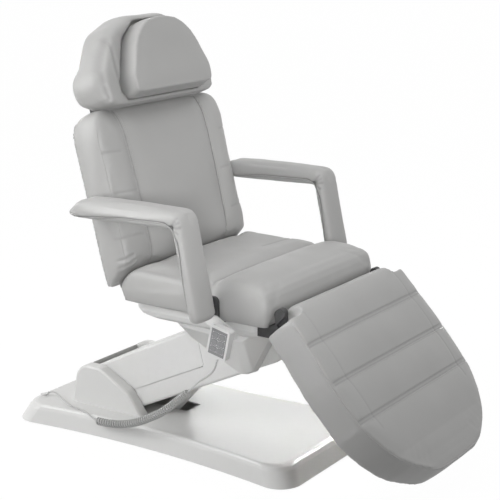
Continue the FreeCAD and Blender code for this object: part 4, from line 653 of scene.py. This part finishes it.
def edge_wear_group():
    """Mask of the edges that hands and cloths have rubbed."""
    found = bpy.data.node_groups.get("Edge wear")
    if found:
        return found
    group, entry, leave = node_group("Edge wear", (("Sharpness", 9.0),), ("Mask",))
    link = group.links.new
    shape = group.nodes.new("ShaderNodeNewGeometry")
    place = group.nodes.new("ShaderNodeTexCoord")
    patchy = add_node(group, "ShaderNodeTexNoise", scale=45.0, detail=4.0)
    link(place.outputs["Object"], patchy.inputs["Vector"])
    raised = math_node(group, "SUBTRACT", shape.outputs["Pointiness"], 0.52)
    raised = math_node(group, "MULTIPLY", raised, entry.outputs["Sharpness"])
    rubbed = group.nodes.new("ShaderNodeMath")
    rubbed.operation = "MULTIPLY"
    rubbed.use_clamp = True
    link(raised, rubbed.inputs[0])
    link(patchy.outputs["Fac"], rubbed.inputs[1])
    link(rubbed.outputs[0], leave.inputs["Mask"])
    return group


def surface(name, colour, group, scale, bump, polish, shade=0.88, wear=0.0, crease=0.0, **sockets):
    """Material with grain, tone, polish and wear that change over the surface, and painted shade where the crease
    attribute is set.
    """
    found = bpy.data.materials.get(name)
    if found:
        return found
    finish, tree, shader = new_finish(name)
    link = tree.links.new
    for label, value in sockets.items():
        shader.inputs[label.replace("_", " ").title()].default_value = value
    grain = add_node(tree, "ShaderNodeGroup", {"node_tree": group}, scale=scale)
    darker, lighter = [c * shade for c in colour], [min(1, c * (2 - shade)) for c in colour]
    shown = mix_colours(tree, grain.outputs["Tone"], darker, lighter)
    if wear:
        rubbed = add_node(tree, "ShaderNodeGroup", {"node_tree": edge_wear_group()})
        shown = mix_colours(tree, rubbed.outputs["Mask"], shown, [min(1, c + wear) for c in colour])
    # Painted shade: the colour darkens towards crease times itself where the pad's crease attribute marks seams,
    # folds and creases.
    if crease:
        painted_crease_shade = add_node(tree, "ShaderNodeAttribute", {"attribute_name": "crease"})
        shown = mix_colours(tree, painted_crease_shade.outputs["Fac"], shown, [c * crease for c in colour])
    link(shown, shader.inputs["Base Color"])
    least, most = polish
    spread = add_node(tree, "ShaderNodeMapRange", from_min=0.25, from_max=0.75, to_min=least, to_max=most)
    link(grain.outputs["Polish"], spread.inputs["Value"])
    link(spread.outputs["Result"], shader.inputs["Roughness"])
    raise_grain(tree, grain.outputs["Height"], *bump)
    return finish


def hide_finish():
    """Grey synthetic leather, darkened to 0.42 of its colour as painted shade in seams, folds and creases."""
    colour = bpy.context.scene.chair_colours.hide
    return surface("Grey synthetic leather", colour, hide_grain_group(), 520.0, (0.32, 0.0006),
                   (0.40, 0.56), shade=0.95, crease=0.42, sheen_weight=0.12, sheen_roughness=0.4)


def thread_finish():
    """Sewing thread, a little lighter than the leather."""
    colour = [c * 1.12 for c in bpy.context.scene.chair_colours.hide]
    return surface("Grey sewing thread", colour, moulded_skin_group(), 1500.0, (0.5, 0.0003), (0.6, 0.8))


def plywood_finish():
    """Birch plywood with long grain."""
    found = bpy.data.materials.get("Plywood")
    if found:
        return found
    finish, tree, shader = new_finish("Plywood")
    link = tree.links.new
    place = tree.nodes.new("ShaderNodeTexCoord")
    stretch = add_node(tree, "ShaderNodeMapping", scale=(1.0, 14.0, 14.0))
    link(place.outputs["Object"], stretch.inputs["Vector"])
    grain = add_node(tree, "ShaderNodeTexNoise", scale=6.0, detail=6.0, distortion=1.2)
    link(stretch.outputs["Vector"], grain.inputs["Vector"])
    ramp = tree.nodes.new("ShaderNodeValToRGB")
    dark_and_light = ((0.3, (0.21, 0.13, 0.07, 1)), (0.7, (0.34, 0.23, 0.13, 1)))
    for stop, (position, colour) in zip(ramp.color_ramp.elements, dark_and_light):
        stop.position = position
        stop.color = colour
    link(grain.outputs["Fac"], ramp.inputs["Fac"])
    link(ramp.outputs["Color"], shader.inputs["Base Color"])
    shader.inputs["Roughness"].default_value = 0.6
    raise_grain(tree, grain.outputs["Fac"], 0.2, 0.0004)
    return finish


def slot_finishes():
    """Finish of each material slot of the solids."""
    colours = bpy.context.scene.chair_colours
    skin = moulded_skin_group()
    return {
        "white_plastic": surface("Off-white moulding", colours.moulding, skin, 900.0, (0.10, 0.0004),
                                 (0.30, 0.46), shade=0.975, wear=0.08),
        "upholstery": hide_finish(),
        "painted_steel": surface("Light powder coat", colours.painted, skin, 420.0, (0.25, 0.0005),
                                 (0.40, 0.55), shade=0.95, wear=0.1),
        "black_steel": surface("Black powder coat", (0.016, 0.016, 0.017), skin, 420.0, (0.3, 0.0005),
                               (0.42, 0.60), wear=0.06),
        "bright_steel": surface("Turned steel", (0.56, 0.56, 0.56), skin, 260.0, (0.08, 0.0003),
                                (0.18, 0.36), shade=0.94, metallic=1.0),
        "bronze": surface("Bush bronze", (0.50, 0.33, 0.16), skin, 260.0, (0.1, 0.0003),
                          (0.28, 0.45), metallic=1.0),
        "board": plywood_finish(),
        "rubber_feet": surface("Black rubber", (0.022, 0.022, 0.022), skin, 500.0, (0.3, 0.0006),
                               (0.65, 0.85), wear=0.05),
        "grey_plastic": surface("Handset shell", colours.handset, skin, 1200.0, (0.15, 0.0003),
                                (0.34, 0.50), shade=0.96, wear=0.1),
        "dark_plastic": surface("Black moulding", (0.02, 0.02, 0.021), skin, 900.0, (0.2, 0.0004),
                                (0.35, 0.55), wear=0.07),
        "keys": surface("Rubber keys", (0.222, 0.222, 0.227), skin, 1400.0, (0.2, 0.0003),
                        (0.5, 0.68)),
        "cord": surface("Cord sheath", colours.cord, skin, 1100.0, (0.12, 0.0003), (0.36, 0.52)),
    }


# Cord

def nurbs_points(name, controls, resolution):
    """Points of a smooth line that has the given points as its controls."""
    data = bpy.data.curves.new(name, "CURVE")
    data.dimensions = "3D"
    spline = data.splines.new("NURBS")
    spline.points.add(len(controls) - 1)
    for point, place in zip(spline.points, controls):
        point.co = (*place, 1)
    spline.order_u = 3
    spline.use_endpoint_u = True
    spline.resolution_u = resolution
    holder = show(name, data)
    graph = bpy.context.evaluated_depsgraph_get()
    mesh = bpy.data.meshes.new_from_object(holder.evaluated_get(graph))
    points = [v.co.copy() for v in mesh.vertices]
    bpy.data.objects.remove(holder)
    bpy.data.curves.remove(data)
    bpy.data.meshes.remove(mesh)
    return points


def carried_frames(points):
    """Heading and one side direction at each point, carried along without twist."""
    side = None
    frames = []
    for k, point in enumerate(points):
        heading = (points[min(k + 1, len(points) - 1)] - points[max(k - 1, 0)]).normalized()
        if side is None:
            side = heading.orthogonal()
        side = (side - heading * side.dot(heading)).normalized()
        frames.append((heading, side))
    return frames


def even_points(points, count):
    """The given number of points, evenly spaced on a line of points."""
    reach = [0.0]
    for before, after in zip(points, points[1:]):
        reach.append(reach[-1] + (after - before).length)
    columns = [np.interp(np.linspace(0, reach[-1], count), reach, [p[k] for p in points]) for k in range(3)]
    return [Vector(place) for place in zip(*columns)]


def tube_mesh(name, points, radius, sides):
    """Closed round tube along points."""
    vertices, faces = [], []
    for point, (heading, side) in zip(points, carried_frames(points)):
        other = heading.cross(side)
        for k in range(sides):
            turn = math.tau * k / sides
            vertices.append(point + (side * math.cos(turn) + other * math.sin(turn)) * radius)
    for ring in range(len(points) - 1):
        for k in range(sides):
            after = (k + 1) % sides
            low, high = ring * sides, (ring + 1) * sides
            faces.append((low + k, low + after, high + after, high + k))
    faces.append(tuple(range(sides))[::-1])
    faces.append(tuple((len(points) - 1) * sides + k for k in range(sides)))
    return mesh_from(name, vertices, faces)


CORD_EXIT = at(-333, 323, 363)
CORD_TIP = at(-170, -428, 73)
UPPER_LEAD = [CORD_EXIT, at(-333, 320.1, 349.3), at(-329, 309, 332), at(-318, 283, 309), at(-303, 240, 281)]
CURL_WAY = [at(-283, 192, 236), at(-268, 113, 168), at(-257, 41, 121), at(-248, -37, 82),
            at(-241, -117, 60), at(-234, -187, 54.5)]
LOWER_LEAD = [at(-217, -243, 67), at(-206, -285, 64), at(-195, -330, 64.5), at(-182, -370, 73),
              at(-170, -406.9, 84.5), CORD_TIP]


class CHAIR_OT_handset_cord(Operator):
    """Curly cord from the handset to the gland behind the base."""
    bl_idname = "chair.handset_cord"
    bl_label = "Handset cord"

    def execute(self, context):
        cord = context.scene.chair_cord
        points_per_curl = 14
        ease_length = 1.1 * points_per_curl
        axis = nurbs_points("curl_axis", CURL_WAY, 24)
        axis = even_points(axis, cord.curls * points_per_curl + 1)
        # Controls stand a little outside the round that the smooth line takes.
        reach = cord.curl_radius / (0.75 + 0.25 * math.cos(math.tau / points_per_curl))
        curl = []
        last = len(axis) - 1
        for k, (point, (heading, side)) in enumerate(zip(axis, carried_frames(axis))):
            turn = math.tau * k / points_per_curl
            ease = float(smooth_step(0, ease_length, min(k, last - k)))
            spread = side * math.cos(turn) + heading.cross(side) * math.sin(turn)
            curl.append(point + spread * (reach * ease))
        route = nurbs_points("cord_route", UPPER_LEAD + curl + LOWER_LEAD, 4)
        route = route[:1] + [b for a, b in zip(route, route[1:]) if (b - a).length > cord.radius / 20]
        piece = show("handset_cord", tube_mesh("handset_cord", route, cord.radius, 8))
        piece.data.materials.append(slot_finishes()["cord"])
        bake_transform(piece)
        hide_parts("cord_lower_lead", "cord_curl", "cord_upper_lead")
        return {"FINISHED"}


# Upholstery

def mirrored(line):
    """The same line on the other side of the chair."""
    return [(-x, *rest) for x, *rest in line]


BACK_MAIN_SEAM = [(0.190, 0.425), (0.187, 0.300), (0.184, 0.150), (0.181, 0.006)]
BACK_SHORT_SEAMS = [[(0.232, 0.314), (0.284, 0.318)], [(0.205, 0.199), (0.292, 0.204)],
                    [(0.215, 0.078), (0.294, 0.082)]]
BACK_FOOT_FOLDS = [[(-0.292, 0.000), (-0.262, 0.013)], [(-0.292, 0.021), (-0.266, 0.029)]]
LEG_CROSS_SEAMS = [[(-0.30, along), (0.30, along)] for along in (0.0, 0.1156, 0.2312)]
LEG_LONG_SEAM = [(-0.238, -0.10), (-0.246, 0.10), (-0.240, 0.27)]
ARMREST_MIDDLE = 0.35
HEAD_SIDE_FOLDS = [[(-0.186, 0.618), (-0.190, 0.53), (-0.184, 0.462)],
                   [(-0.190, 0.612), (-0.216, 0.577), (-0.240, 0.538), (-0.246, 0.498), (-0.238, 0.455)]]


class CHAIR_OT_back_pad(Operator):
    """Back pad with its two long seams and the short seams of its side bolsters."""
    bl_idname = "chair.back_pad"
    bl_label = "Back pad"

    def execute(self, context):
        step = context.scene.chair_padding.mesh_step
        pad = pad_from_solids("back_pad", ("back_cushion", "back_board"), step)
        seams = [BACK_MAIN_SEAM, mirrored(BACK_MAIN_SEAM)]
        shorts = BACK_SHORT_SEAMS + [mirrored(line) for line in BACK_SHORT_SEAMS]
        _, along, out, normals, facing = read_pad(pad, BACK)
        held = held_by_board(pad, BACK, -0.075, seams, step)
        swell(pad, held, swell_limits(normals, side=0.0055, face=0.011))
        relax(pad.data, 2)
        # The top edge stands close under the head cushion.
        rise = 0.0065 * smooth_step(0.37, 0.43, along) * smooth_step(-0.085, -0.03, out)
        shift(pad, rise, BACK.along)
        square_edge(pad, facing, 0.6, 0.25, 0.004 * smooth_step(0.38, 0.41, along))
        refine(pad)
        soft_unevenness(pad, 0.0012, 0.09)
        bare_board(pad, BACK, "back_board", 0.030)
        # The last number of each press is how much painted shade the dent puts into the leather's colour; the
        # broad dent gets none.
        press(pad, seam_dent(pad, BACK, seams, 0.030, 0.0045), 0.0)
        press(pad, seam_dent(pad, BACK, seams, 0.0034, 0.0026), 0.55)
        press(pad, seam_dent(pad, BACK, shorts, 0.0034, 0.0012), 0.16)
        for fold in BACK_FOOT_FOLDS:
            press(pad, fold_dent(pad, BACK, fold, 0.004, 0.0016), 0.12)
        finish_pad(pad, "back", ("back_cushion",))
        skin = skin_of(pad)
        paths = [face_path(skin, BACK, [(x + 0.0032 * np.sign(x), a) for x, a in line]) for line in seams]
        paths += [side_path(skin, BACK, hand, -0.002, 0.012, 0.385) for hand in (-1, 1)]
        beads("back_seam_rolls", "back", paths, 0.0013)
        stitch_rows("back_stitching", pad, "back", BACK, seams, (-0.0075, 0.0095))
        return {"FINISHED"}


class CHAIR_OT_seat_pad(Operator):
    """Seat pad with the crease behind its front roll."""
    bl_idname = "chair.seat_pad"
    bl_label = "Seat pad"

    def execute(self, context):
        step = context.scene.chair_padding.mesh_step
        pad = pad_from_solids("seat_pad", ("seat_cushion", "seat_board"), step)
        crease = [[(-0.262, 0.262), (0.0, 0.268), (0.262, 0.272)]]
        across, _, out, normals, facing = read_pad(pad, SEAT)
        held = held_by_board(pad, SEAT, -0.085, crease, step)
        swell(pad, held, swell_limits(normals, side=0.002, face=0.009))
        relax(pad.data, 2)
        square_edge(pad, facing, 0.65, 0.22, 0.005 * smooth_step(0.3, 0.5, -normals[:, 1]))
        # The lower edge hangs over the edge of the board.
        hang = 0.006 * smooth_step(0.250, 0.262, np.abs(across)) * (1 - smooth_step(-0.085, -0.06, out))
        shift(pad, -hang, SEAT.out)
        refine(pad)
        soft_unevenness(pad, 0.0012, 0.08)
        bare_board(pad, SEAT, "seat_board", 0.020)
        # The crease and the short seam also get painted shade in the leather's colour, by the last number of each
        # press; the broad dent gets none.
        press(pad, seam_dent(pad, SEAT, crease, 0.020, 0.004), 0.0)
        press(pad, seam_dent(pad, SEAT, crease, 0.004, 0.0015), 0.35)
        press(pad, seam_dent(pad, SEAT, [[(0.085, 0.188), (0.255, 0.198)]], 0.004, 0.0014), 0.3)
        finish_pad(pad, "seat", ("seat_cushion",))
        return {"FINISHED"}


class CHAIR_OT_leg_pad(Operator):
    """Leg rest pad with its three cross seams."""
    bl_idname = "chair.leg_pad"
    bl_label = "Leg rest pad"

    def execute(self, context):
        step = context.scene.chair_padding.mesh_step
        pad = pad_from_solids("leg_pad", ("leg_cushion", "leg_board"), step)
        _, along, out, normals, facing = read_pad(pad, LEG)
        held = held_by_board(pad, LEG, -0.095, LEG_CROSS_SEAMS, step)
        held |= (facing > 0.35) & (facing < 0.8) & (out > -0.03)
        most = swell_limits(normals, side=0.004, face=0.006)
        swell(pad, held, np.where(along < -0.09, 0.002, most))
        relax(pad.data, 2)
        # The face runs nearly level up to the lower end.
        level = np.interp(along, (0.350, 0.391, 0.415, 0.436, 0.446), (0, 0.006, 0.013, 0.020, 0.026))
        level *= smooth_step(-0.1, 0.35, facing)
        shift(pad, level, LEG.out)
        square_edge(pad, facing, 0.62, 0.2, 0.005 * smooth_step(-0.11, -0.09, along))
        refine(pad)
        soft_unevenness(pad, 0.001, 0.10)
        bare_board(pad, LEG, "leg_board", -1)
        doubled = [[(x, a + side) for x, a in line] for line in LEG_CROSS_SEAMS for side in (-0.004, 0.004)]
        # The doubled cross seams and the long seams also get painted shade in the leather's colour.
        press(pad, seam_dent(pad, LEG, doubled, 0.003, 0.0015), 0.32)
        press(pad, seam_dent(pad, LEG, [LEG_LONG_SEAM, mirrored(LEG_LONG_SEAM)], 0.0034, 0.0008), 0.12)
        finish_pad(pad, "leg_rest", ("leg_cushion",))
        skin = skin_of(pad)
        edge = round_path(skin, LEG, 0.16, -0.010, math.radians(-128), math.radians(128), 200)
        beads("leg_edge_roll", "leg_rest", [edge], 0.0019)
        stitch_rows("leg_stitching", pad, "leg_rest", LEG, LEG_CROSS_SEAMS, (-0.0085, 0.0085))
        return {"FINISHED"}


class CHAIR_OT_head_pads(Operator):
    """Head cushion with its side folds, and the loose pillow in its hollow."""
    bl_idname = "chair.head_pads"
    bl_label = "Head pads"

    def execute(self, context):
        step = context.scene.chair_padding.mesh_step
        pad = pad_from_solids("head_pad", ("head_cushion",), step)
        across, along, out, _, facing = read_pad(pad, HEAD)
        hollow = (np.abs(across) < 0.195) & (out > 0.0) & (along > 0.44) & (along < 0.675)
        held = (facing < -0.3) | (out < -0.064) | (hollow & (facing > 0.2)) | (along < 0.44)
        swell(pad, held, 0.009)
        relax(pad.data, 2)
        # The lower edge stands close above the back pad.
        drop = -0.004 * (1 - smooth_step(0.44, 0.49, along)) * smooth_step(-0.07, -0.02, out)
        shift(pad, drop, HEAD.along)
        lower = 1 - smooth_step(0.455, 0.475, along)
        square_edge(pad, facing, 0.6, 0.25, 0.005 * lower)
        # The lower flanks are stuffed full towards the rear.
        normals = normals_of(pad.data)
        rearward = 0.6 * np.abs(normals[:, 0]) - 0.8 * normals @ HEAD.out
        full = smooth_step(0.2, 0.85, rearward) * (1 - smooth_step(0.50, 0.62, along)) * 0.014
        full *= smooth_step(0.218, 0.246, np.abs(across)) * smooth_step(0.43, 0.46, along)
        side = np.sign(across)[:, None] * np.array((0.6, 0, 0)) - 0.8 * HEAD.out
        shift(pad, full, side)
        refine(pad)
        soft_unevenness(pad, 0.0013, 0.07)
        # The side folds also get painted shade in the leather's colour.
        for fold in HEAD_SIDE_FOLDS:
            for line in (fold, mirrored(fold)):
                press(pad, fold_dent(pad, HEAD, line, 0.006, 0.0022), 0.2)
        finish_pad(pad, "head", ("head_cushion",))

        pillow = pad_from_solids("head_pillow_pad", ("head_pillow",), 0.004)
        facing = normals_of(pillow.data) @ HEAD.out
        swell(pillow, facing < 0.9, 0.0025)
        round_outline(pillow.data, HEAD, 16)
        relax(pillow.data, 2)
        square_edge(pillow, facing, 0.6, 0.25, 0.0045)
        relax(pillow.data, 1)
        _, along, out = HEAD.local(points_of(pillow.data))
        # The underside falls away towards the hollow.
        drop = -0.009 * (1 - smooth_step(0.485, 0.53, along)) * (1 - smooth_step(0.04, 0.085, out))
        shift(pillow, drop, HEAD.along)
        refine(pillow)
        soft_unevenness(pillow, 0.0005, 0.08)
        finish_pad(pillow, "pillow", ("head_pillow",))
        return {"FINISHED"}


def strip_line(skin, hand):
    """Seam of an armrest's closing strip, in side view: under the pad and down behind the post."""
    middle = hand * ARMREST_MIDDLE
    line = []
    for y in np.linspace(0.29, -0.045, 20):
        spot = skin.ray_cast(Vector((middle, y, 0.60)), Vector((0, 0, 1)), 0.3)[0]
        if spot:
            line.append((y, spot.z + 0.004 + 0.014 * float(smooth_step(0.0, 0.2, 0.30 - y))))
    for z in np.linspace(0.685, 0.515, 14):
        spot = skin.ray_cast(Vector((middle, 0.40, z)), Vector((0, -1, 0)), 0.6)[0]
        if spot:
            line.append((spot.y - 0.006 - 0.011 * float(smooth_step(0.53, 0.67, z)), z))
    return line


def corner_puckers(line):
    """Short folds in side view that fan out from the inside corner of an armrest."""
    corner = min(line, key=lambda place: place[0] - place[1])
    fan = ((-0.026, 0.016), (-0.030, 0.002), (-0.018, 0.026), (-0.024, -0.014))
    return [[corner, (corner[0] + y, corner[1] + z)] for y, z in fan]


def flank_path(skin, line, hand, turn):
    """Points of the strip's seam on the outer or inner flank of an armrest."""
    beside = hand * ARMREST_MIDDLE + turn * 0.2
    inward = Vector((-turn, 0, 0))
    places = [place for place, _ in along_line(line, PATH_PITCH)]
    return first_meetings(skin, [(Vector((beside, y, z)), inward) for y, z in places])


class CHAIR_OT_armrest_pads(Operator):
    """Two armrest pads with the seams of their closing strips."""
    bl_idname = "chair.armrest_pads"
    bl_label = "Armrest pads"

    def execute(self, context):
        for side, hand in (("left", 1), ("right", -1)):
            pad = pad_from_solids(f"armrest_{side}_pad", (f"armrest_pad_{side}",), 0.005)
            normals = normals_of(pad.data)
            forward, up = -normals[:, 1], normals[:, 2]
            places = points_of(pad.data)
            post = places[:, 2] < 0.68
            inside = np.where(post, forward < -0.25, up < -0.25)
            strip = inside & (np.abs(normals[:, 0]) < 0.75)
            low = places[:, 2] < 0.56
            held = strip | low
            inner = normals[:, 0] * hand < -0.4
            swell(pad, held, np.where(inner, 0.0015, 0.004))
            relax(pad.data, 1)
            places = points_of(pad.data)
            places[:, 1] += 0.016 * smooth_step(0.19, 0.30, places[:, 1])
            move_points(pad.data, places)
            refine(pad)
            soft_unevenness(pad, 0.0008, 0.06)
            skin = skin_of(pad)
            line = strip_line(skin, hand)
            places = points_of(pad.data)
            flank = smooth_step(0.35, 0.6, np.abs(normals_of(pad.data)[:, 0]))
            gap = line_distance(line, places[:, 1], places[:, 2])
            # The strip's seam gets full painted shade in the leather's colour, and the corner puckers a lighter
            # painted shade.
            press(pad, np.exp(-(gap / 0.003) ** 2) * flank * 0.0024)
            for fold in corner_puckers(line):
                gap = line_distance(fold, places[:, 1], places[:, 2])
                press(pad, np.exp(-(gap / 0.0035) ** 2) * flank * 0.0020, 0.35)
            paths = [flank_path(skin, line, hand, turn) for turn in (1, -1)]
            beads(f"armrest_{side}_strip_rolls", f"armrest_{side}", paths, 0.0011)
            finish_pad(pad, f"armrest_{side}", (f"armrest_pad_{side}",))
        return {"FINISHED"}


# Rigid pieces

class CHAIR_OT_finishes(Operator):
    """Finishes of all mouldings, frames, boards, pins, actuators and keys."""
    bl_idname = "chair.finishes"
    bl_label = "Finishes of the rigid pieces"

    def execute(self, context):
        finishes = slot_finishes()
        for node, piece in solids.items():
            if not piece.data.materials:
                piece.data.materials.append(None)
            finish = finishes["black_steel" if node == "hinge_pins" else SLOT_OF[node]]
            for slot in piece.material_slots:
                slot.material = finish
        return {"FINISHED"}


class CHAIR_OT_keypad(Operator):
    """Dark keypad foil on the handset's face, open round each key."""
    bl_idname = "chair.keypad"
    bl_label = "Keypad foil"

    def execute(self, context):
        keys = {}
        for row in (1, 2, 3):
            for column in (1, 2):
                keys[row, column] = points_of(solids[f"button_{row}_{column}"].data)
        middles = {spot: Vector(places.mean(axis=0)) for spot, places in keys.items()}
        top = (middles[1, 1] + middles[1, 2]) / 2
        bottom = (middles[3, 1] + middles[3, 2]) / 2
        up = (top - bottom)
        up.x = 0
        up.normalize()
        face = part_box("handset_front")[0].x
        right = Vector((1, 0, 0)).cross(up)
        centre = (top + bottom) / 2
        clear, rim_u, rim_v, thick = 0.0001, 0.0045, 0.008, 0.0005

        def edges(direction, index, rim):
            spans = {}
            for spot, places in keys.items():
                reach = (places - np.array(centre)) @ np.array(direction)
                low, high = spans.get(spot[index], (9, -9))
                spans[spot[index]] = (min(low, reach.min()), max(high, reach.max()))
            cuts = sorted(v for low, high in spans.values() for v in (low - clear, high + clear))
            return [cuts[0] - rim] + cuts + [cuts[-1] + rim]

        across, upward = edges(right, 1, rim_u), edges(up, 0, rim_v)
        work = bmesh.new()
        grid = [[work.verts.new(Vector((face, centre.y, centre.z)) + right * u + up * v) for u in across]
                for v in upward]
        for j in range(len(upward) - 1):
            for i in range(len(across) - 1):
                if i % 2 == 1 and j % 2 == 1:
                    continue
                work.faces.new((grid[j][i], grid[j][i + 1], grid[j + 1][i + 1], grid[j + 1][i]))
        foil = show("keypad_foil", mesh_of(work, "keypad_foil", smooth=False))
        body = foil.modifiers.new("Foil", "SOLIDIFY")
        body.thickness = thick
        body.offset = 0
        edge = foil.modifiers.new("Edge", "BEVEL")
        edge.width = 0.0001
        edge.segments = 2
        bake(foil)
        foil.data.materials.clear()
        foil.data.materials.append(surface(
            "Keypad foil", context.scene.chair_colours.keypad, moulded_skin_group(), 1600.0,
            (0.12, 0.0002), (0.35, 0.5), shade=0.94))
        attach(foil, "seat")
        return {"FINISHED"}


# Stage

SENSOR_WIDTH = 36.0


def bright_to_camera(tree, dark, white):
    """Mix that shows the white shader to camera, glossy and clear rays."""
    path = tree.nodes.new("ShaderNodeLightPath")
    seen = math_node(tree, "MAXIMUM", path.outputs["Is Camera Ray"], path.outputs["Is Glossy Ray"])
    seen = math_node(tree, "MAXIMUM", seen, path.outputs["Is Transmission Ray"])
    mix = tree.nodes.new("ShaderNodeMixShader")
    tree.links.new(dark, mix.inputs[1])
    tree.links.new(white, mix.inputs[2])
    return mix, seen


def soft_lamp(name, place, target, width, height, power, beam=180):
    """Soft light that faces a point, with a beam of so many degrees."""
    data = bpy.data.lights.new(name, "AREA")
    data.shape = "RECTANGLE"
    data.size = width
    data.size_y = height
    data.energy = power
    data.spread = math.radians(beam)
    lamp = show(name, data)
    lamp.location = place
    lamp.rotation_euler = (target - place).to_track_quat("-Z", "Y").to_euler()


class CHAIR_OT_stage(Operator):
    """Camera, white floor and plain studio light."""
    bl_idname = "chair.stage"
    bl_label = "Stage"

    def execute(self, context):
        scene = context.scene
        studio = scene.chair_studio
        scene.view_settings.view_transform = "Standard"
        camera_data = bpy.data.cameras.new("photo_camera")
        camera_data.lens = studio.lens
        camera_data.sensor_width = SENSOR_WIDTH
        camera = show("photo_camera", camera_data)
        camera.location = at(-3091, 2300, 1523)
        behind = Vector((-0.8023, -0.5443, 0.2452))
        camera.rotation_euler = (-behind).to_track_quat("-Z", "Y").to_euler()
        scene.camera = camera

        half = 30.0
        corners = [(-half, -half, 0), (half, -half, 0), (half, half, 0), (-half, half, 0)]
        floor = show("studio_floor", mesh_from("studio_floor", corners, [(0, 1, 2, 3)]))
        white, tree, matt = new_finish("White studio floor")
        matt.inputs["Base Color"].default_value = (0.34, 0.34, 0.34, 1)
        matt.inputs["Roughness"].default_value = 0.9
        glow = add_node(tree, "ShaderNodeEmission", color=(1, 1, 1, 1), strength=1.06)
        mix, seen = bright_to_camera(tree, matt.outputs[0], glow.outputs[0])
        shadow_share = 0.08
        tree.links.new(math_node(tree, "MULTIPLY", seen, 1 - shadow_share), mix.inputs[0])
        tree.links.new(mix.outputs[0], tree.nodes["Material Output"].inputs["Surface"])
        floor.data.materials.append(white)

        world = bpy.data.worlds.new("Studio surround")
        world.use_nodes = True
        scene.world = world
        tree = world.node_tree
        even = tree.nodes["Background"]
        even.inputs["Color"].default_value = (1, 1, 1, 1)
        even.inputs["Strength"].default_value = studio.surround
        plain = add_node(tree, "ShaderNodeBackground", color=(1, 1, 1, 1), strength=1.0)
        mix, seen = bright_to_camera(tree, even.outputs[0], plain.outputs[0])
        tree.links.new(seen, mix.inputs[0])
        tree.links.new(mix.outputs[0], tree.nodes["World Output"].inputs["Surface"])

        middle = Vector((0, 0, 0.6))
        soft_lamp("near_side_light", Vector((-1.9, 1.7, 1.7)), middle, 1.4, 1.4, studio.side_power)
        soft_lamp("top_light", Vector((0.4, -0.6, 3.8)), middle, 3.2, 3.2, studio.top_power)
        soft_lamp("fill_light", Vector((-2.3, -1.5, 1.2)), Vector((0.1, 0.1, 0.8)), 0.5, 0.5,
                  studio.fill_power, 34)
        soft_lamp("base_light", Vector((1.9, 0.05, 0.95)), Vector((0, -0.05, 0.06)), 0.8, 0.12,
                  studio.base_power, 14)
        return {"FINISHED"}


class CHAIR_PT_chair(Panel):
    """Sizes, colours and pieces of the chair."""
    bl_idname = "CHAIR_PT_chair"
    bl_label = "Treatment chair"
    bl_space_type = "VIEW_3D"
    bl_region_type = "UI"
    bl_category = "Chair"

    def draw(self, context):
        layout = self.layout
        for label in GROUPS:
            values = getattr(context.scene, label)
            box = layout.box()
            for field in values.bl_rna.properties:
                if field.identifier not in ("rna_type", "name"):
                    box.prop(values, field.identifier)
        for operator in OPERATORS:
            layout.operator(operator.bl_idname)


GROUPS = {
    "chair_padding": ChairPadding,
    "chair_colours": ChairColours,
    "chair_cord": ChairCord,
    "chair_studio": ChairStudio,
}
OPERATORS = (
    CHAIR_OT_stage,
    CHAIR_OT_handset_cord,
    CHAIR_OT_finishes,
    CHAIR_OT_back_pad,
    CHAIR_OT_seat_pad,
    CHAIR_OT_leg_pad,
    CHAIR_OT_head_pads,
    CHAIR_OT_armrest_pads,
    CHAIR_OT_keypad,
)


def register():
    for label, group in GROUPS.items():
        bpy.utils.register_class(group)
        setattr(bpy.types.Scene, label, PointerProperty(type=group))
    for kind in (*OPERATORS, CHAIR_PT_chair):
        bpy.utils.register_class(kind)


def unregister():
    for kind in reversed((*OPERATORS, CHAIR_PT_chair)):
        bpy.utils.unregister_class(kind)
    for label, group in GROUPS.items():
        delattr(bpy.types.Scene, label)
        bpy.utils.unregister_class(group)


def main():
    register()
    for operator in OPERATORS:
        folder, name = operator.bl_idname.split(".")
        getattr(getattr(bpy.ops, folder), name)()


if __name__ == "__main__":
    main()
